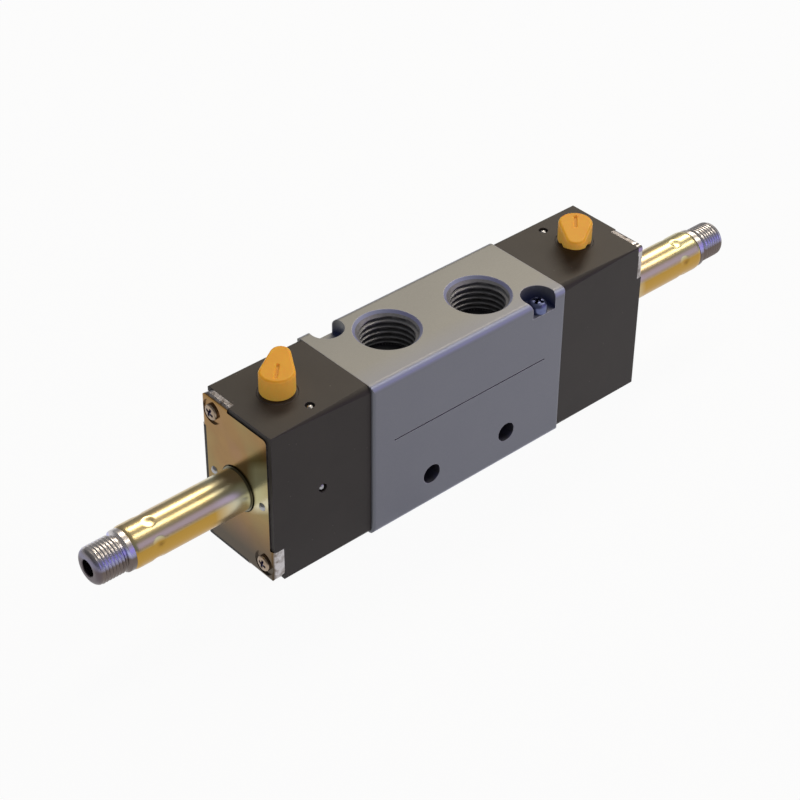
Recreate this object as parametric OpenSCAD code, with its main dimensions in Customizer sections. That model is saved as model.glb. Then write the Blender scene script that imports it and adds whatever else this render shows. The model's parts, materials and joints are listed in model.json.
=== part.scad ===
// Double-solenoid spool valve, five ports and two positions, shown without its coils.
// The long axis is X, the front face with the two mounting holes looks to -Y, the ports
// A and B are on top. The origin is the middle of the base. Everything at the right-hand
// end is drawn once, and the left-hand end is the same turned half round about Z.

/* [Valve body] */
// Width of the body along Y
body_w = 23.8; // [23.4:0.2:26]
// Height of the body; the spool axis lies at half of it
body_h = 37.4; // [37:0.2:40]
// Radius on the long edges of the body
edge_r = 1.6; // [1:0.1:2]
// Radius on the upright edges at both ends of the body
end_r = 0.7; // [0.4:0.1:0.7]
// Width of the fine line cut across the front face
line_w = 0.3; // [0.2:0.05:0.5]
// Length of that line
line_l = 42; // [30:0.5:44]
// Height of that line above the base
line_z = 22; // [15:0.1:25]

/* [Ports] */
// Thread major diameter of the supply and the two outlets, G1/4
port_d = 13.157; // [12.6:0.01:13.4]
// Threaded depth of those ports
port_depth = 8.5; // [7.5:0.1:9]
// Depth of the chamfer at every port mouth
port_chamfer = 0.6; // [0.3:0.05:1]
// Distance of each outlet outwards from its window in the spool bore
outlet_shift = 1.55; // [0.8:0.05:2]
// Distance of each outlet from the middle along Y, to opposite sides
outlet_stagger = 1.5; // [0:0.05:2]
// Thread major diameter of the two exhausts, G1/8
exhaust_d = 9.728; // [9.4:0.01:9.9]
// Threaded depth of the exhausts
exhaust_depth = 8; // [7:0.1:8.8]
// Diameter of the channel from a port to the spool bore
channel_d = 6.2; // [5:0.1:6.8]

/* [Mounting holes and corner screw] */
// Diameter of the two through holes on the front
side_hole_d = 4.5; // [4:0.1:4.8]
// Distance of each of them outwards from the windows of the outlets
side_hole_shift = 1; // [0.7:0.05:1.1]
// Height of them above the base
side_hole_z = 7.85; // [6:0.05:8.2]
// Diameter of the two corner counterbores, open to the side faces
pocket_d = 7.5; // [6.8:0.1:7.8]
// Depth of the counterbores
pocket_depth = 3.6; // [3:0.1:5]
// Distance of the counterbores from the body's end face
pocket_in = 6.3; // [5.6:0.1:6.7]
// Shank diameter of the corner screw and the plate screws
small_screw_d = 2.5; // [2:0.1:2.6]
// Head diameter of the corner screw, within the side face
corner_head_d = 4; // [3.2:0.1:4]
// Head height of the corner screw
corner_head_h = 2.8; // [1.8:0.1:2.9]

/* [Spool and seals] */
// Diameter of the spool bore
bore_d = 14; // [13.4:0.1:14.4]
// Distance between neighbouring spool seals
seal_pitch = 9.6; // [9.2:0.05:9.8]
// Width of one spool seal
seal_w = 2.2; // [1.8:0.1:2.6]
// Diameter of the spool lands
land_d = 8; // [7.4:0.1:8.4]
// Diameter of the spool waists
waist_d = 5.5; // [4.5:0.1:6.2]
// Travel of the spool from stop to stop
stroke = 4.8; // [4:0.1:4.8]
// Diameter of the windows in the spacer cages
window_d = 4.2; // [3:0.1:5]
// Room between the cages and the spool lands
cage_gap = 0.5; // [0.3:0.05:0.8]
// Thickness of the washers that hold the seal stack at both ends
washer_t = 1.4; // [1:0.1:2]
// Diameter of those washers
washer_d = 17.2; // [16.8:0.1:17.6]

/* [Pilot pistons] */
// Diameter of the piston chamber in each pilot housing
chamber_d = 16; // [15:0.1:16.4]
// Thickness of a piston
piston_t = 4.8; // [4.4:0.1:5.2]
// Width of the piston seal
piston_seal_w = 2; // [1.6:0.1:2.4]
// Depth of the groove for that seal
piston_groove = 1.5; // [1.2:0.1:2]
// Thickness of the seal's two lips
piston_lip = 0.5; // [0.4:0.05:0.6]
// Diameter of the spool stub inside the piston
stub_d = 5; // [4:0.1:5.4]
// Length of the spool stub inside the piston
stub_l = 3.1; // [2.4:0.1:3.6]
// Thickness of the flat gasket
gasket_t = 0.6; // [0.4:0.1:1]
// Distance of the gasket's edge from the outline of the body
gasket_inset = 0.8; // [0.5:0.1:1]
// Width of the land between the chamber and the gasket
gasket_land = 1; // [0.6:0.1:1.2]

/* [Pilot housings] */
// Length of a pilot housing along X
housing_l = 24.6; // [24.4:0.1:27]
// Width of a pilot housing where it meets the body
housing_w = 22.3; // [22:0.1:22.4]
// Radius on the long edges of a pilot housing where it meets the body
housing_r = 1.8; // [1.4:0.1:2.2]
// Draft of a pilot housing's four faces over its whole length
housing_draft = 0.45; // [0.2:0.05:0.6]
// Thickness of the wall that carries the pilot nozzle
nozzle_wall = 1.5; // [1.2:0.1:1.8]
// Diameter of the pressed end of the nozzle
nozzle_d = 4.4; // [3.6:0.1:5]
// Height of the nozzle tip above the wall
nozzle_h = 1.2; // [1:0.05:1.3]
// Diameter of the nozzle's seat
nozzle_seat_d = 1.8; // [1.4:0.1:2.2]
// Bore of the nozzle
nozzle_bore_d = 1; // [0.6:0.1:1.2]
// Diameter of the room round the plunger
room_d = 8.8; // [8.6:0.1:9.4]
// Diameter of the drilled pilot passages
passage_d = 1.4; // [1:0.1:1.6]
// Distance of the pilot passages from the middle plane
passage_y = 8.1; // [8.1:0.05:8.6]
// Height of the pilot passages above the spool axis
passage_up = 13; // [12.6:0.1:13.4]
// Distance of the upright drilling from the pilot passage, towards the middle
drill_shift = 0.7; // [0:0.1:0.8]
// Diameter of the pressed steel plug balls
ball_d = 2; // [1.7:0.1:2.2]
// Depth of the plug balls below the surface
ball_sink = 0.1; // [0.05:0.05:0.5]
// Shank diameter of the screws that hold a housing to the body
housing_screw_d = 3; // [2.6:0.1:3.1]
// Head diameter of those screws
housing_head_d = 5.5; // [5:0.1:5.6]
// Head height of those screws
housing_head_h = 3; // [2.4:0.1:3.2]
// Width across corners of the hexagon socket in those screws
housing_hex_d = 2.9; // [2.4:0.1:3.2]
// Distance of those screws from the middle plane
housing_screw_y = 6.65; // [6.4:0.05:6.7]
// Distance of those screws from the spool axis along Z
housing_screw_z = 9.4; // [9.2:0.05:9.8]
// Depth of their thread in the body
housing_screw_grip = 4.2; // [3:0.1:4.3]

/* [End plates] */
// Sheet thickness of an end plate
plate_t = 0.9; // [0.6:0.1:1.1]
// Height of the plate's face above the rim of the housing
plate_proud = 0.3; // [0.1:0.05:0.5]
// Width of the housing's rim beside the plate
plate_inset_y = 1.2; // [0.9:0.1:1.2]
// Width of the housing's rim above and below the plate
plate_inset_z = 1.1; // [0.9:0.1:1.6]
// Radius of the plate's two free corners
plate_r = 0.9; // [0.4:0.1:1.4]
// Width of the two corners that wrap round the housing, along Y
corner_w = 8.3; // [7.8:0.1:9]
// Height of those corners along Z
corner_h = 8.1; // [7.4:0.1:8.6]
// Radius of those corners
corner_r = 2.2; // [1.8:0.1:2.6]
// Length of the tab folded over the top or the base
flat_tab_l = 1.8; // [1.6:0.1:3]
// Length of the tab folded over the side at the top
upper_tab_l = 1.6; // [1.4:0.1:3]
// Length of the tab folded over the side at the bottom
lower_tab_l = 2.6; // [1.8:0.1:3.2]
// Head diameter of the plate screws
plate_head_d = 4; // [3.6:0.1:4.6]
// Head height of the plate screws
plate_head_h = 1.3; // [1.1:0.1:1.7]
// Distance of the plate screws from the sides of the wrapped corners
plate_screw_in = 3.3; // [3.1:0.05:3.5]
// Distance of the plate screws from the top and the base of those corners
plate_screw_z = 3.65; // [3.3:0.05:4]
// Length of the plate screws below the head
plate_screw_l = 9; // [6:0.5:10]
// Diameter of the dished seat round a plate screw
dish_d = 5.6; // [5:0.1:6]
// Depth of the dished seat
dish_depth = 0.4; // [0.2:0.05:0.5]
// Diameter of the two locating pins
pin_d = 1.8; // [1.4:0.1:2]
// Distance of the pins from the flange of the tube
pin_gap = 1.35; // [1.2:0.05:1.6]
// Depth of the pins in the housing
pin_grip = 3.5; // [2:0.1:4.5]
// Height of the domed pin ends above the plate
pin_dome = 0.5; // [0.3:0.05:0.8]

/* [Armature tubes] */
// Outer diameter of the tube
tube_d = 9.2; // [9.1:0.05:9.5]
// Wall thickness of the tube
tube_wall = 0.65; // [0.55:0.05:0.7]
// Length of the tube outside the plate
tube_out = 27.4; // [24:0.1:30]
// Diameter of the collar at the root of the tube
root_d = 9.8; // [9.7:0.05:10.2]
// Length of that collar outside the plate
root_out = 0.3; // [0.2:0.05:0.6]
// Room round the collar in the plate's hole
tube_hole_gap = 0.25; // [0.1:0.05:0.4]
// Diameter of the flange under the plate
flange_d = 12.4; // [11.6:0.1:12.8]
// Thickness of the flange
flange_t = 1.5; // [1.2:0.1:1.8]
// Distance of the crimp from the outer end of the tube
crimp_back = 5.4; // [4.5:0.1:6.5]
// Depth of each crimp dent
crimp_depth = 0.4; // [0.2:0.05:0.45]
// Radius of the punch that made the dents
crimp_r = 2.6; // [2:0.1:3.4]
// Number of crimp dents round the tube
crimp_count = 6; // [4:1:8]
// Diameter of the cord of the tube's ring seal
tube_ring_cord = 1.1; // [0.9:0.05:1.2]

/* [Fixed cores with threaded ends] */
// Length of the core inside the tube
core_inner_l = 13.4; // [11:0.1:15]
// Diameter of the shoulder outside the tube
shoulder_d = 8.8; // [8.4:0.1:9]
// Length of that shoulder
shoulder_l = 1.2; // [1:0.1:2]
// Outer diameter of the coil nut thread
stud_d = 8; // [7.4:0.1:8.2]
// Diameter of the neck between shoulder and thread
neck_d = 7.2; // [6.8:0.1:7.3]
// Length of the neck with its two chamfers
neck_l = 1.2; // [1.1:0.1:1.6]
// Length of the stud from the shoulder to its tip
stud_l = 7.2; // [6.4:0.1:9]
// Radius of the rounded tip
tip_r = 1.5; // [1:0.1:1.7]
// Diameter of the blind hole in the tip
tip_hole_d = 3.6; // [2.8:0.1:4]
// Depth of that hole
tip_hole_depth = 9; // [5:0.5:12]
// Outer diameter of the copper shading ring
shade_d = 6.8; // [6.4:0.1:7.2]
// Width of the shading ring across
shade_w = 0.8; // [0.6:0.1:1]

/* [Plungers] */
// Lift of the plunger from the nozzle to the core
lift = 0.9; // [0.6:0.05:1]
// Diameter of the rubber nose
nose_d = 3; // [2.6:0.1:3.2]
// Depth of the nose inside the plunger
nose_grip = 3; // [2:0.1:4]
// Diameter of the spring bore in the plunger
spring_bore_d = 4.4; // [4:0.1:5]
// Depth of the spring bore
spring_depth = 9; // [6:0.5:12]
// Wire diameter of the plunger spring
wire_d = 0.5; // [0.4:0.05:0.6]
// Number of spring turns
spring_turns = 7; // [5:1:9]

/* [Manual overrides] */
// Distance of the override axis from the body's end face
stem_in = 14.3; // [14.2:0.05:15]
// Diameter of the override stem
stem_d = 4; // [3.6:0.1:4.1]
// Diameter of the eccentric pin under the stem
cam_d = 1.8; // [1.4:0.1:1.8]
// Offset of the eccentric pin from the stem axis
cam_offset = 0.9; // [0.6:0.05:0.9]
// Outer diameter of the guide bush
bush_d = 6; // [5.8:0.1:6.4]
// Diameter of the bush flange
bush_flange_d = 7.2; // [6.8:0.1:7.8]
// Height of the bush flange
bush_flange_h = 0.2; // [0.15:0.05:0.4]
// Diameter of the flat seat for the flange, sunk in the top of the housing
spot_d = 8.3; // [8:0.1:8.8]
// Depth of that seat below the outer end of the housing's top
spot_depth = 0.15; // [0.1:0.05:0.3]
// Height of the collar that keeps the stem in, above the spool axis
collar_up = 8.7; // [8:0.1:9]
// Thickness of that collar
collar_t = 1.4; // [1:0.1:1.6]
// Distance of the flat on the stem's top end from the stem axis
tang_flat = 1.4; // [1.1:0.1:1.7]
// Diameter of the cord of the stem's ring seal
stem_ring_cord = 0.76; // [0.6:0.02:0.8]
// Room for that seal in its groove, along the stem
stem_ring_room = 0.24; // [0.1:0.02:0.3]
// Distance of that groove below the collar
stem_ring_drop = 2.2; // [1.6:0.1:2.6]
// Diameter of the lever's hub
hub_d = 7.3; // [7:0.1:8]
// Height of the lever's hub
hub_h = 4.9; // [4.4:0.1:5.6]
// Thickness of the lever above the stem
lever_roof = 1.4; // [1:0.1:2]
// Radius of the hub's lower rim
hub_foot_r = 0.7; // [0.4:0.1:1]
// Distance from the lever axis to the tip of its nose
nose_reach = 8.4; // [7:0.1:9]
// Radius of the nose tip
nose_tip_r = 2; // [1.4:0.05:2.2]
// Thickness of the nose at its tip
nose_tip_h = 2; // [1.6:0.1:2.6]
// Height of the nose's underside where it meets the hub
nose_heel = 1; // [0.6:0.1:1.6]
// Direction of the nose at rest, from +X towards +Y
nose_angle = 225; // [180:5:270]
// Width of the mark on top of the lever
mark_w = 0.9; // [0.7:0.1:1.4]
// Length of the mark
mark_l = 4.8; // [3.6:0.1:5.4]
// Depth of the mark
mark_depth = 0.5; // [0.3:0.05:0.8]

/* [Hidden] */
$fn = 64;

// Clearances
fit_gap = 0.02;
slide_gap = 0.05;
free_gap = 0.3;
past = 1;

// Colours
grey_aluminium = "#8A8780";
black_housing = "#3E3A39";
yellow_zinc = "#A98B4B";
bright_steel = "#B9BABD";
dull_steel = "#7E7F88";
orange_lever = "#DC9530";
black_rubber = "#232323";
brass_yellow = "#B5964F";
copper_red = "#B0704A";
white_plastic = "#D8D4C6";

// Places along X, measured outwards at the right-hand end
stack_end = 2.5 * seal_pitch + seal_w / 2;
end_x = stack_end + washer_t;
outlet_x = seal_pitch + outlet_shift;
side_hole_x = seal_pitch + side_hole_shift;
exhaust_x = 2 * seal_pitch;
pocket_x = end_x - pocket_in;
housing_end = end_x + housing_l;
plate_face = housing_end + plate_proud;
plate_seat = plate_face - plate_t;
piston_x = end_x + stroke / 2 + free_gap;
chamber_end = piston_x + piston_t + stroke / 2 + free_gap;
seat_x = chamber_end + nozzle_wall;
nozzle_tip_x = seat_x + nozzle_h;
stem_x = end_x + stem_in;
plunger_x = stem_x + stem_d / 2 + slide_gap * 2;
tube_end = plate_face + tube_out;
core_x = tube_end - core_inner_l;
plunger_end = core_x - lift;
spring_x = plunger_end - spring_depth;
shoulder_end = tube_end + shoulder_l;
neck_end = shoulder_end + neck_l;
tip_x = shoulder_end + stud_l;
crimp_x = tube_end - crimp_back;
piston_groove_x = piston_x + (piston_t - piston_seal_w) / 2;

// Outline of a pilot housing at its outer end, which the wrapped corners keep
end_w = housing_w - 2 * housing_draft;
end_h = body_h - 2 * housing_draft;

// Distances from the middle plane
pocket_y = body_w / 2 - corner_head_d / 2;
plate_screw_y = end_w / 2 - plate_screw_in;
pin_y = flange_d / 2 + pin_gap;

// Radii
bore_r = bore_d / 2;
land_r = land_d / 2;
chamber_r = chamber_d / 2;
tube_r = tube_d / 2;
tube_in_r = tube_r - tube_wall;
core_r = tube_in_r - fit_gap;
plunger_r = tube_in_r - slide_gap;
stud_r = stud_d / 2;
piston_r = chamber_r - slide_gap * 2;
piston_groove_r = chamber_r - piston_groove;
ring_mean_r = (flange_d + room_d) / 4 + 2 * slide_gap;
dome_r = (pow(pin_d / 2, 2) + pow(pin_dome, 2)) / (2 * pin_dome);

// The rest place of the spool is against its left-hand stop
spool_rest = -stroke / 2;
// The corner screw hangs in its counterbore by the head
pocket_seat_z = body_h - pocket_depth;
axis_z = body_h / 2;
passage_z = axis_z + passage_up;
spot_z = axis_z + end_h / 2 - spot_depth;
// The upright drilling and the one from the side meet beside the middle of the nozzle
drill_x = seat_x + nozzle_h / 2;
gasket_bore_r = chamber_r + gasket_land;
// The drafted surface over the plug balls
plug_top = body_h - draft_at(drill_x);
plug_side = housing_w / 2 - draft_at(drill_x);
// Share of a pan head's height in its rounded rim, and of a seal's half width in its lip
rim_share = 0.45;
lip_share = 0.3;
small_hole_d = small_screw_d + 2 * fit_gap;
housing_hole_d = housing_screw_d + 2 * fit_gap;
lever_z = spot_z + bush_flange_h + free_gap;
lever_top = lever_z + hub_h;
collar_z = axis_z + collar_up;
collar_top = collar_z + collar_t;
bush_z = collar_top + free_gap / 2;
stem_bottom = axis_z + room_d / 2 + fit_gap * 5;
cam_bottom = axis_z + nose_d / 2 + free_gap;
tang_top = lever_top - lever_roof;
ring_gland = tube_ring_cord;
stem_gland = stem_ring_cord + stem_ring_room;
stem_ring_z = collar_z - stem_ring_drop;
bend_r = plate_t;
// The nose's straight flanks are tangent to the hub and to the tip circle
nose_c = nose_reach - nose_tip_r;
flank_angle = acos((hub_d / 2 - nose_tip_r) / nose_c);

// Turns a right-hand piece half round for the left-hand end
module at_left() {
    rotate([0, 0, 180])
        children();
}

// A round bar along X, on the spool axis unless placed
module bar_x(d, from, to, y = 0, z = axis_z) {
    translate([from, y, z])
        rotate([0, 90, 0])
            cylinder(d = d, h = to - from);
}

module bar_y(d, from, to, x, z) {
    translate([x, to, z])
        rotate([90, 0, 0])
            cylinder(d = d, h = to - from);
}

module bar_z(d, from, to, x, y) {
    translate([x, y, from])
        cylinder(d = d, h = to - from);
}

// Turns a profile of [radius, x] round the spool axis
module turned() {
    translate([0, 0, axis_z])
        rotate([0, 90, 0])
            rotate_extrude()
                children();
}

// Turns a profile of [radius, z] round an upright axis
module turned_upright(x, y) {
    translate([x, y, 0])
        rotate_extrude()
            children();
}

// A ring seal of round cord, coaxial with the spool
module cord_ring(mean_r, cord_d, x) {
    turned()
        translate([mean_r, x])
            circle(d = cord_d);
}

// Extrudes an outline drawn in Y and Z along X
module along_x(from, to) {
    translate([from, 0, 0])
        rotate([90, 0, 90])
            linear_extrude(to - from)
                children();
}

// A rounded outline of width w and height h round the spool axis, seen along X
module rounded(w, h, r) {
    translate([0, axis_z]) {
        square([w - 2 * r, h], center = true);
        square([w, h - 2 * r], center = true);
        for (sy = [-1, 1], sz = [-1, 1])
            translate([sy * (w / 2 - r), sz * (h / 2 - r)])
                circle(r);
    }
}

// A pan head with a rounded rim and its shank, pointing along -Z from z = 0
module pan_screw(shank_d, shank_l, head_d, head_h) {
    rim = head_h * rim_share;
    rotate_extrude() {
        square([head_d / 2, head_h - rim]);
        square([head_d / 2 - rim, head_h]);
        intersection() {
            translate([head_d / 2 - rim, head_h - rim])
                circle(rim);
            square([head_d / 2, head_h]);
        }
        translate([0, -shank_l])
            square([shank_d / 2, shank_l]);
    }
}

module port_mouth(d, depth) {
    translate([0, 0, -depth])
        cylinder(d = d, h = depth + past);
    translate([0, 0, -port_chamfer])
        cylinder(d1 = d, d2 = d + 2 * (port_chamfer + past), h = port_chamfer + past);
}

// Body

module outlet_port(side) {
    translate([side * outlet_x, -side * outlet_stagger, body_h])
        port_mouth(port_d, port_depth);
    bar_z(channel_d, axis_z, body_h - port_depth + past, side * seal_pitch, 0);
}

module base_port(x, d, depth) {
    translate([x, 0, 0])
        rotate([180, 0, 0])
            port_mouth(d, depth);
    bar_z(channel_d, depth - past, axis_z, x, 0);
}

module corner_pocket() {
    bar_z(pocket_d, pocket_seat_z, body_h + past, pocket_x, -pocket_y);
    bar_z(small_hole_d, -past, body_h, pocket_x, -pocket_y);
}

// The pilot supply runs from the base port's channel to the end face
module pilot_gallery() {
    bar_x(passage_d, 0, end_x + past, passage_y, passage_z);
    bar_z(passage_d, port_depth / 2, passage_z, 0, passage_y);
    bar_y(passage_d, 0, passage_y, 0, port_depth / 2);
}

module body_end_cuts() {
    bar_x(washer_d + 2 * fit_gap, stack_end, end_x + past);
    housing_screw_places()
        bar_x(housing_hole_d, end_x - housing_screw_grip - free_gap, end_x + past, 0, 0);
    corner_pocket();
    pilot_gallery();
}

// The body seen from above, with its upright end edges rounded
module body_plan() {
    translate([0, 0, -past])
        linear_extrude(body_h + 2 * past) {
            square([2 * end_x, body_w - 2 * end_r], center = true);
            square([2 * (end_x - end_r), body_w], center = true);
            for (sx = [-1, 1], sy = [-1, 1])
                translate([sx * (end_x - end_r), sy * (body_w / 2 - end_r)])
                    circle(end_r);
        }
}

module valve_body() {
    color(grey_aluminium)
        difference() {
            intersection() {
                along_x(-end_x, end_x)
                    rounded(body_w, body_h, edge_r);
                body_plan();
            }
            bar_x(bore_d, -end_x - past, end_x + past);
            for (side = [-1, 1]) {
                outlet_port(side);
                base_port(side * exhaust_x, exhaust_d, exhaust_depth);
                bar_y(side_hole_d, -body_w, body_w, side * side_hole_x, side_hole_z);
            }
            base_port(0, port_d, port_depth);
            body_end_cuts();
            at_left()
                body_end_cuts();
            translate([0, -body_w / 2, line_z])
                cube([line_l, line_w, line_w], center = true);
        }
}

// Five spacer cages hold the spool seals apart and let air through their windows
module seal_cages() {
    color(white_plastic)
        for (i = [-2:2])
            difference() {
                bar_x(bore_d - 2 * fit_gap, i * seal_pitch - (seal_pitch - seal_w) / 2,
                    i * seal_pitch + (seal_pitch - seal_w) / 2);
                bar_x(land_d + 2 * cage_gap, (i - 1) * seal_pitch, (i + 1) * seal_pitch);
                translate([i * seal_pitch, 0, axis_z])
                    for (a = [0:60:120])
                        rotate([a, 0, 0])
                            cylinder(d = window_d, h = 2 * bore_d, center = true);
            }
}

module spool_seals() {
    lip = seal_w * lip_share;
    color(black_rubber)
        for (i = [-2.5:1:2.5])
            turned()
                translate([0, i * seal_pitch])
                    polygon([
                        [land_r + slide_gap, -lip], [land_r + slide_gap, lip],
                        [land_r + seal_w / 2, seal_w / 2], [bore_r - fit_gap, seal_w / 2],
                        [bore_r - fit_gap, -seal_w / 2], [land_r + seal_w / 2, -seal_w / 2]
                    ]);
}

module stack_washer() {
    difference() {
        bar_x(washer_d, stack_end, end_x);
        bar_x(land_d + 2 * free_gap, stack_end - past, end_x + past);
    }
}

module stack_washers() {
    color(bright_steel) {
        stack_washer();
        at_left()
            stack_washer();
    }
}

// Only the right-hand counterbore holds a screw
module corner_screw() {
    color(bright_steel)
        translate([pocket_x, -pocket_y, pocket_seat_z])
            pan_screw(small_screw_d, pocket_seat_z - free_gap, corner_head_d, corner_head_h);
}

// Spool and pistons

// Each land reaches from one seal row to the next, each waist lies between two lands
module spool_half() {
    bar_x(waist_d, 0, piston_x);
    bar_x(land_d, seal_pitch / 2, 1.5 * seal_pitch);
    bar_x(land_d, 2 * seal_pitch, piston_x);
    bar_x(stub_d, piston_x, piston_x + stub_l);
}

module spool() {
    color(bright_steel)
        translate([spool_rest, 0, 0]) {
            spool_half();
            mirror([1, 0, 0])
                spool_half();
        }
}

module piston() {
    color(white_plastic)
        difference() {
            bar_x(2 * piston_r, piston_x, piston_x + piston_t);
            bar_x(stub_d + 2 * fit_gap, piston_x - past, piston_x + stub_l + free_gap);
            turned()
                translate([piston_groove_r, piston_groove_x])
                    square([chamber_r, piston_seal_w]);
        }
}

// The seal's two lips open towards the side that the pilot air comes from
module piston_seal() {
    w = piston_seal_w - 2 * fit_gap;
    lip_r = chamber_r - slide_gap;
    root_r = piston_groove_r + fit_gap;
    color(black_rubber)
        turned()
            translate([0, piston_groove_x + fit_gap])
                polygon([
                    [root_r, 0], [lip_r - slide_gap, 0], [lip_r, w], [lip_r - piston_lip, w],
                    [(lip_r + root_r) / 2, piston_lip], [root_r + piston_lip, w], [root_r, w]
                ]);
}

// Pilot housing

// Children are placed at both housing screws, on the diagonal away from the drillings
module housing_screw_places() {
    for (s = [-1, 1])
        translate([0, -s * housing_screw_y, axis_z + s * housing_screw_z])
            children();
}

// Children are placed at both plate screws, which lie on the same diagonal
module plate_screw_places() {
    for (s = [-1, 1])
        translate([0, -s * plate_screw_y, axis_z + s * (end_h / 2 - plate_screw_z)])
            children();
}

module gasket_outline(inset) {
    rounded(housing_w - 2 * inset, body_h - 2 * inset, housing_r - inset);
}

module gasket() {
    color(black_rubber)
        along_x(end_x, end_x + gasket_t)
            difference() {
                gasket_outline(gasket_inset);
                translate([0, axis_z])
                    circle(gasket_bore_r);
                translate([passage_y, passage_z])
                    circle(d = passage_d);
                for (s = [-1, 1])
                    translate([-s * housing_screw_y, axis_z + s * housing_screw_z])
                        circle(d = housing_hole_d);
            }
}

module gasket_recess() {
    difference() {
        along_x(end_x - past, end_x + gasket_t)
            gasket_outline(gasket_inset - fit_gap);
        bar_x(2 * (gasket_bore_r - fit_gap), end_x - 2 * past, end_x + gasket_t + past);
    }
}

// A ball's seat and the drilling below it, from the surface at z = 0 down to depth
module plugged_drilling(depth) {
    translate([0, 0, -depth])
        cylinder(d = passage_d, h = depth);
    translate([0, 0, -ball_sink - ball_d / 2])
        cylinder(d = ball_d, h = ball_d);
    translate([0, 0, -ball_sink - ball_d / 2])
        sphere(d = ball_d);
}

// Children are placed on the top face and on the back face, over their drillings
module plug_places() {
    translate([drill_x, passage_y - drill_shift, plug_top])
        children(0);
    translate([drill_x, plug_side, axis_z])
        rotate([-90, 0, 0])
            children(1);
}

// How far the drafted faces lie inside the outline that meets the body
function draft_at(x) = fit_gap + (housing_draft - fit_gap) * (x - end_x) / housing_l;

// Four tilted boxes cut the draft of the side faces, the top and the base
module draft_cuts() {
    tilt = atan((housing_draft - fit_gap) / housing_l);
    for (s = [-1, 1]) {
        translate([end_x, s * (housing_w / 2 - fit_gap), axis_z])
            rotate([0, 0, -s * tilt])
                translate([-past, s > 0 ? 0 : -body_w, -body_h])
                    cube([2 * housing_l, body_w, 2 * body_h]);
        translate([end_x, 0, axis_z + s * (body_h / 2 - fit_gap)])
            rotate([0, s * tilt, 0])
                translate([-past, -body_w, s > 0 ? 0 : -body_h])
                    cube([2 * housing_l, 2 * body_w, body_h]);
    }
}

// The solid of a plate's wrapped corners, cut back to the inner skin when hollow
module wrap(inner_gap) {
    skin = plate_t + inner_gap;
    difference() {
        for (s = [-1, 1])
            translate([0, -s * (end_w - corner_w) / 2, axis_z + s * (end_h - corner_h) / 2])
                wrap_block(s);
        along_x(end_x, plate_seat - inner_gap)
            rounded(end_w - 2 * skin, end_h - 2 * skin, corner_r - plate_t);
    }
}

// Two boxes reach over the flat face and over the side face of one corner
module wrap_block(s) {
    side_tab_l = s > 0 ? upper_tab_l : lower_tab_l;
    grow = past;
    translate([plate_face - flat_tab_l, -corner_w / 2 - (s > 0 ? grow : 0),
        s > 0 ? corner_h / 2 - corner_r : -corner_h / 2 - grow])
        cube([flat_tab_l, corner_w + grow, corner_r + grow]);
    translate([plate_face - side_tab_l, s > 0 ? -corner_w / 2 - grow : corner_w / 2 - corner_r,
        -corner_h / 2 - (s > 0 ? 0 : grow)])
        cube([side_tab_l, corner_r + grow, corner_h + grow]);
}

module stem_bores() {
    bar_z(stem_d + 2 * slide_gap, axis_z, body_h, stem_x, 0);
    bar_z(bush_d + 2 * fit_gap, collar_z - free_gap / 2, body_h + past, stem_x, 0);
    bar_z(spot_d, spot_z, body_h + past, stem_x, 0);
}

module tube_seat() {
    bar_x(flange_d + 2 * fit_gap, plate_seat - flange_t, housing_end + past);
    turned()
        translate([ring_mean_r - ring_gland / 2 - fit_gap, plate_seat - flange_t - ring_gland])
            square([ring_gland + 2 * fit_gap, ring_gland + past]);
}

module pilot_housing() {
    color(black_housing)
        difference() {
            along_x(end_x, housing_end)
                rounded(housing_w, body_h, housing_r);
            draft_cuts();
            gasket_recess();
            bar_x(chamber_d, end_x - past, chamber_end);
            bar_x(nozzle_d + 2 * fit_gap, chamber_end - past, seat_x + past);
            bar_x(room_d, seat_x, housing_end + past);
            tube_seat();
            stem_bores();
            bar_x(passage_d, end_x - past, drill_x, passage_y, passage_z);
            plug_places() {
                plugged_drilling(plug_top - axis_z);
                plugged_drilling(plug_side - room_d / 4);
            }
            housing_screw_places() {
                bar_x(housing_hole_d, end_x - past, housing_end, 0, 0);
                bar_x(housing_head_d + 2 * fit_gap, plate_seat - housing_head_h - free_gap,
                    housing_end + past, 0, 0);
            }
            plate_screw_places()
                bar_x(small_hole_d, plate_seat - plate_screw_l, housing_end + past, 0, 0);
            for (s = [-1, 1])
                bar_x(pin_d + 2 * fit_gap, plate_seat - pin_grip - fit_gap, housing_end + past,
                    s * pin_y);
            along_x(plate_seat, housing_end + past)
                plate_outline(slide_gap);
            wrap(fit_gap);
        }
}

module plug_balls() {
    color(bright_steel)
        plug_places() {
            translate([0, 0, -ball_sink - ball_d / 2])
                sphere(d = ball_d - 2 * fit_gap);
            translate([0, 0, -ball_sink - ball_d / 2])
                sphere(d = ball_d - 2 * fit_gap);
        }
}

module housing_screws() {
    color(dull_steel)
        housing_screw_places()
            difference() {
                union() {
                    bar_x(housing_screw_d, end_x - housing_screw_grip, plate_seat - housing_head_h, 0, 0);
                    bar_x(housing_head_d, plate_seat - housing_head_h - free_gap,
                        plate_seat - free_gap, 0, 0);
                }
                translate([plate_seat - free_gap, 0, 0])
                    rotate([0, 90, 0])
                        cylinder(d = housing_hex_d, h = housing_head_h, center = true, $fn = 6);
            }
}

module pilot_nozzle() {
    nozzle_r = nozzle_d / 2;
    color(brass_yellow)
        turned()
            polygon([
                [nozzle_bore_d / 2, chamber_end], [nozzle_r, chamber_end], [nozzle_r, seat_x],
                [(nozzle_r + nozzle_seat_d / 2) / 2, seat_x], [nozzle_seat_d / 2, nozzle_tip_x],
                [nozzle_bore_d / 2, nozzle_tip_x]
            ]);
}

// End plate and its fasteners

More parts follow.
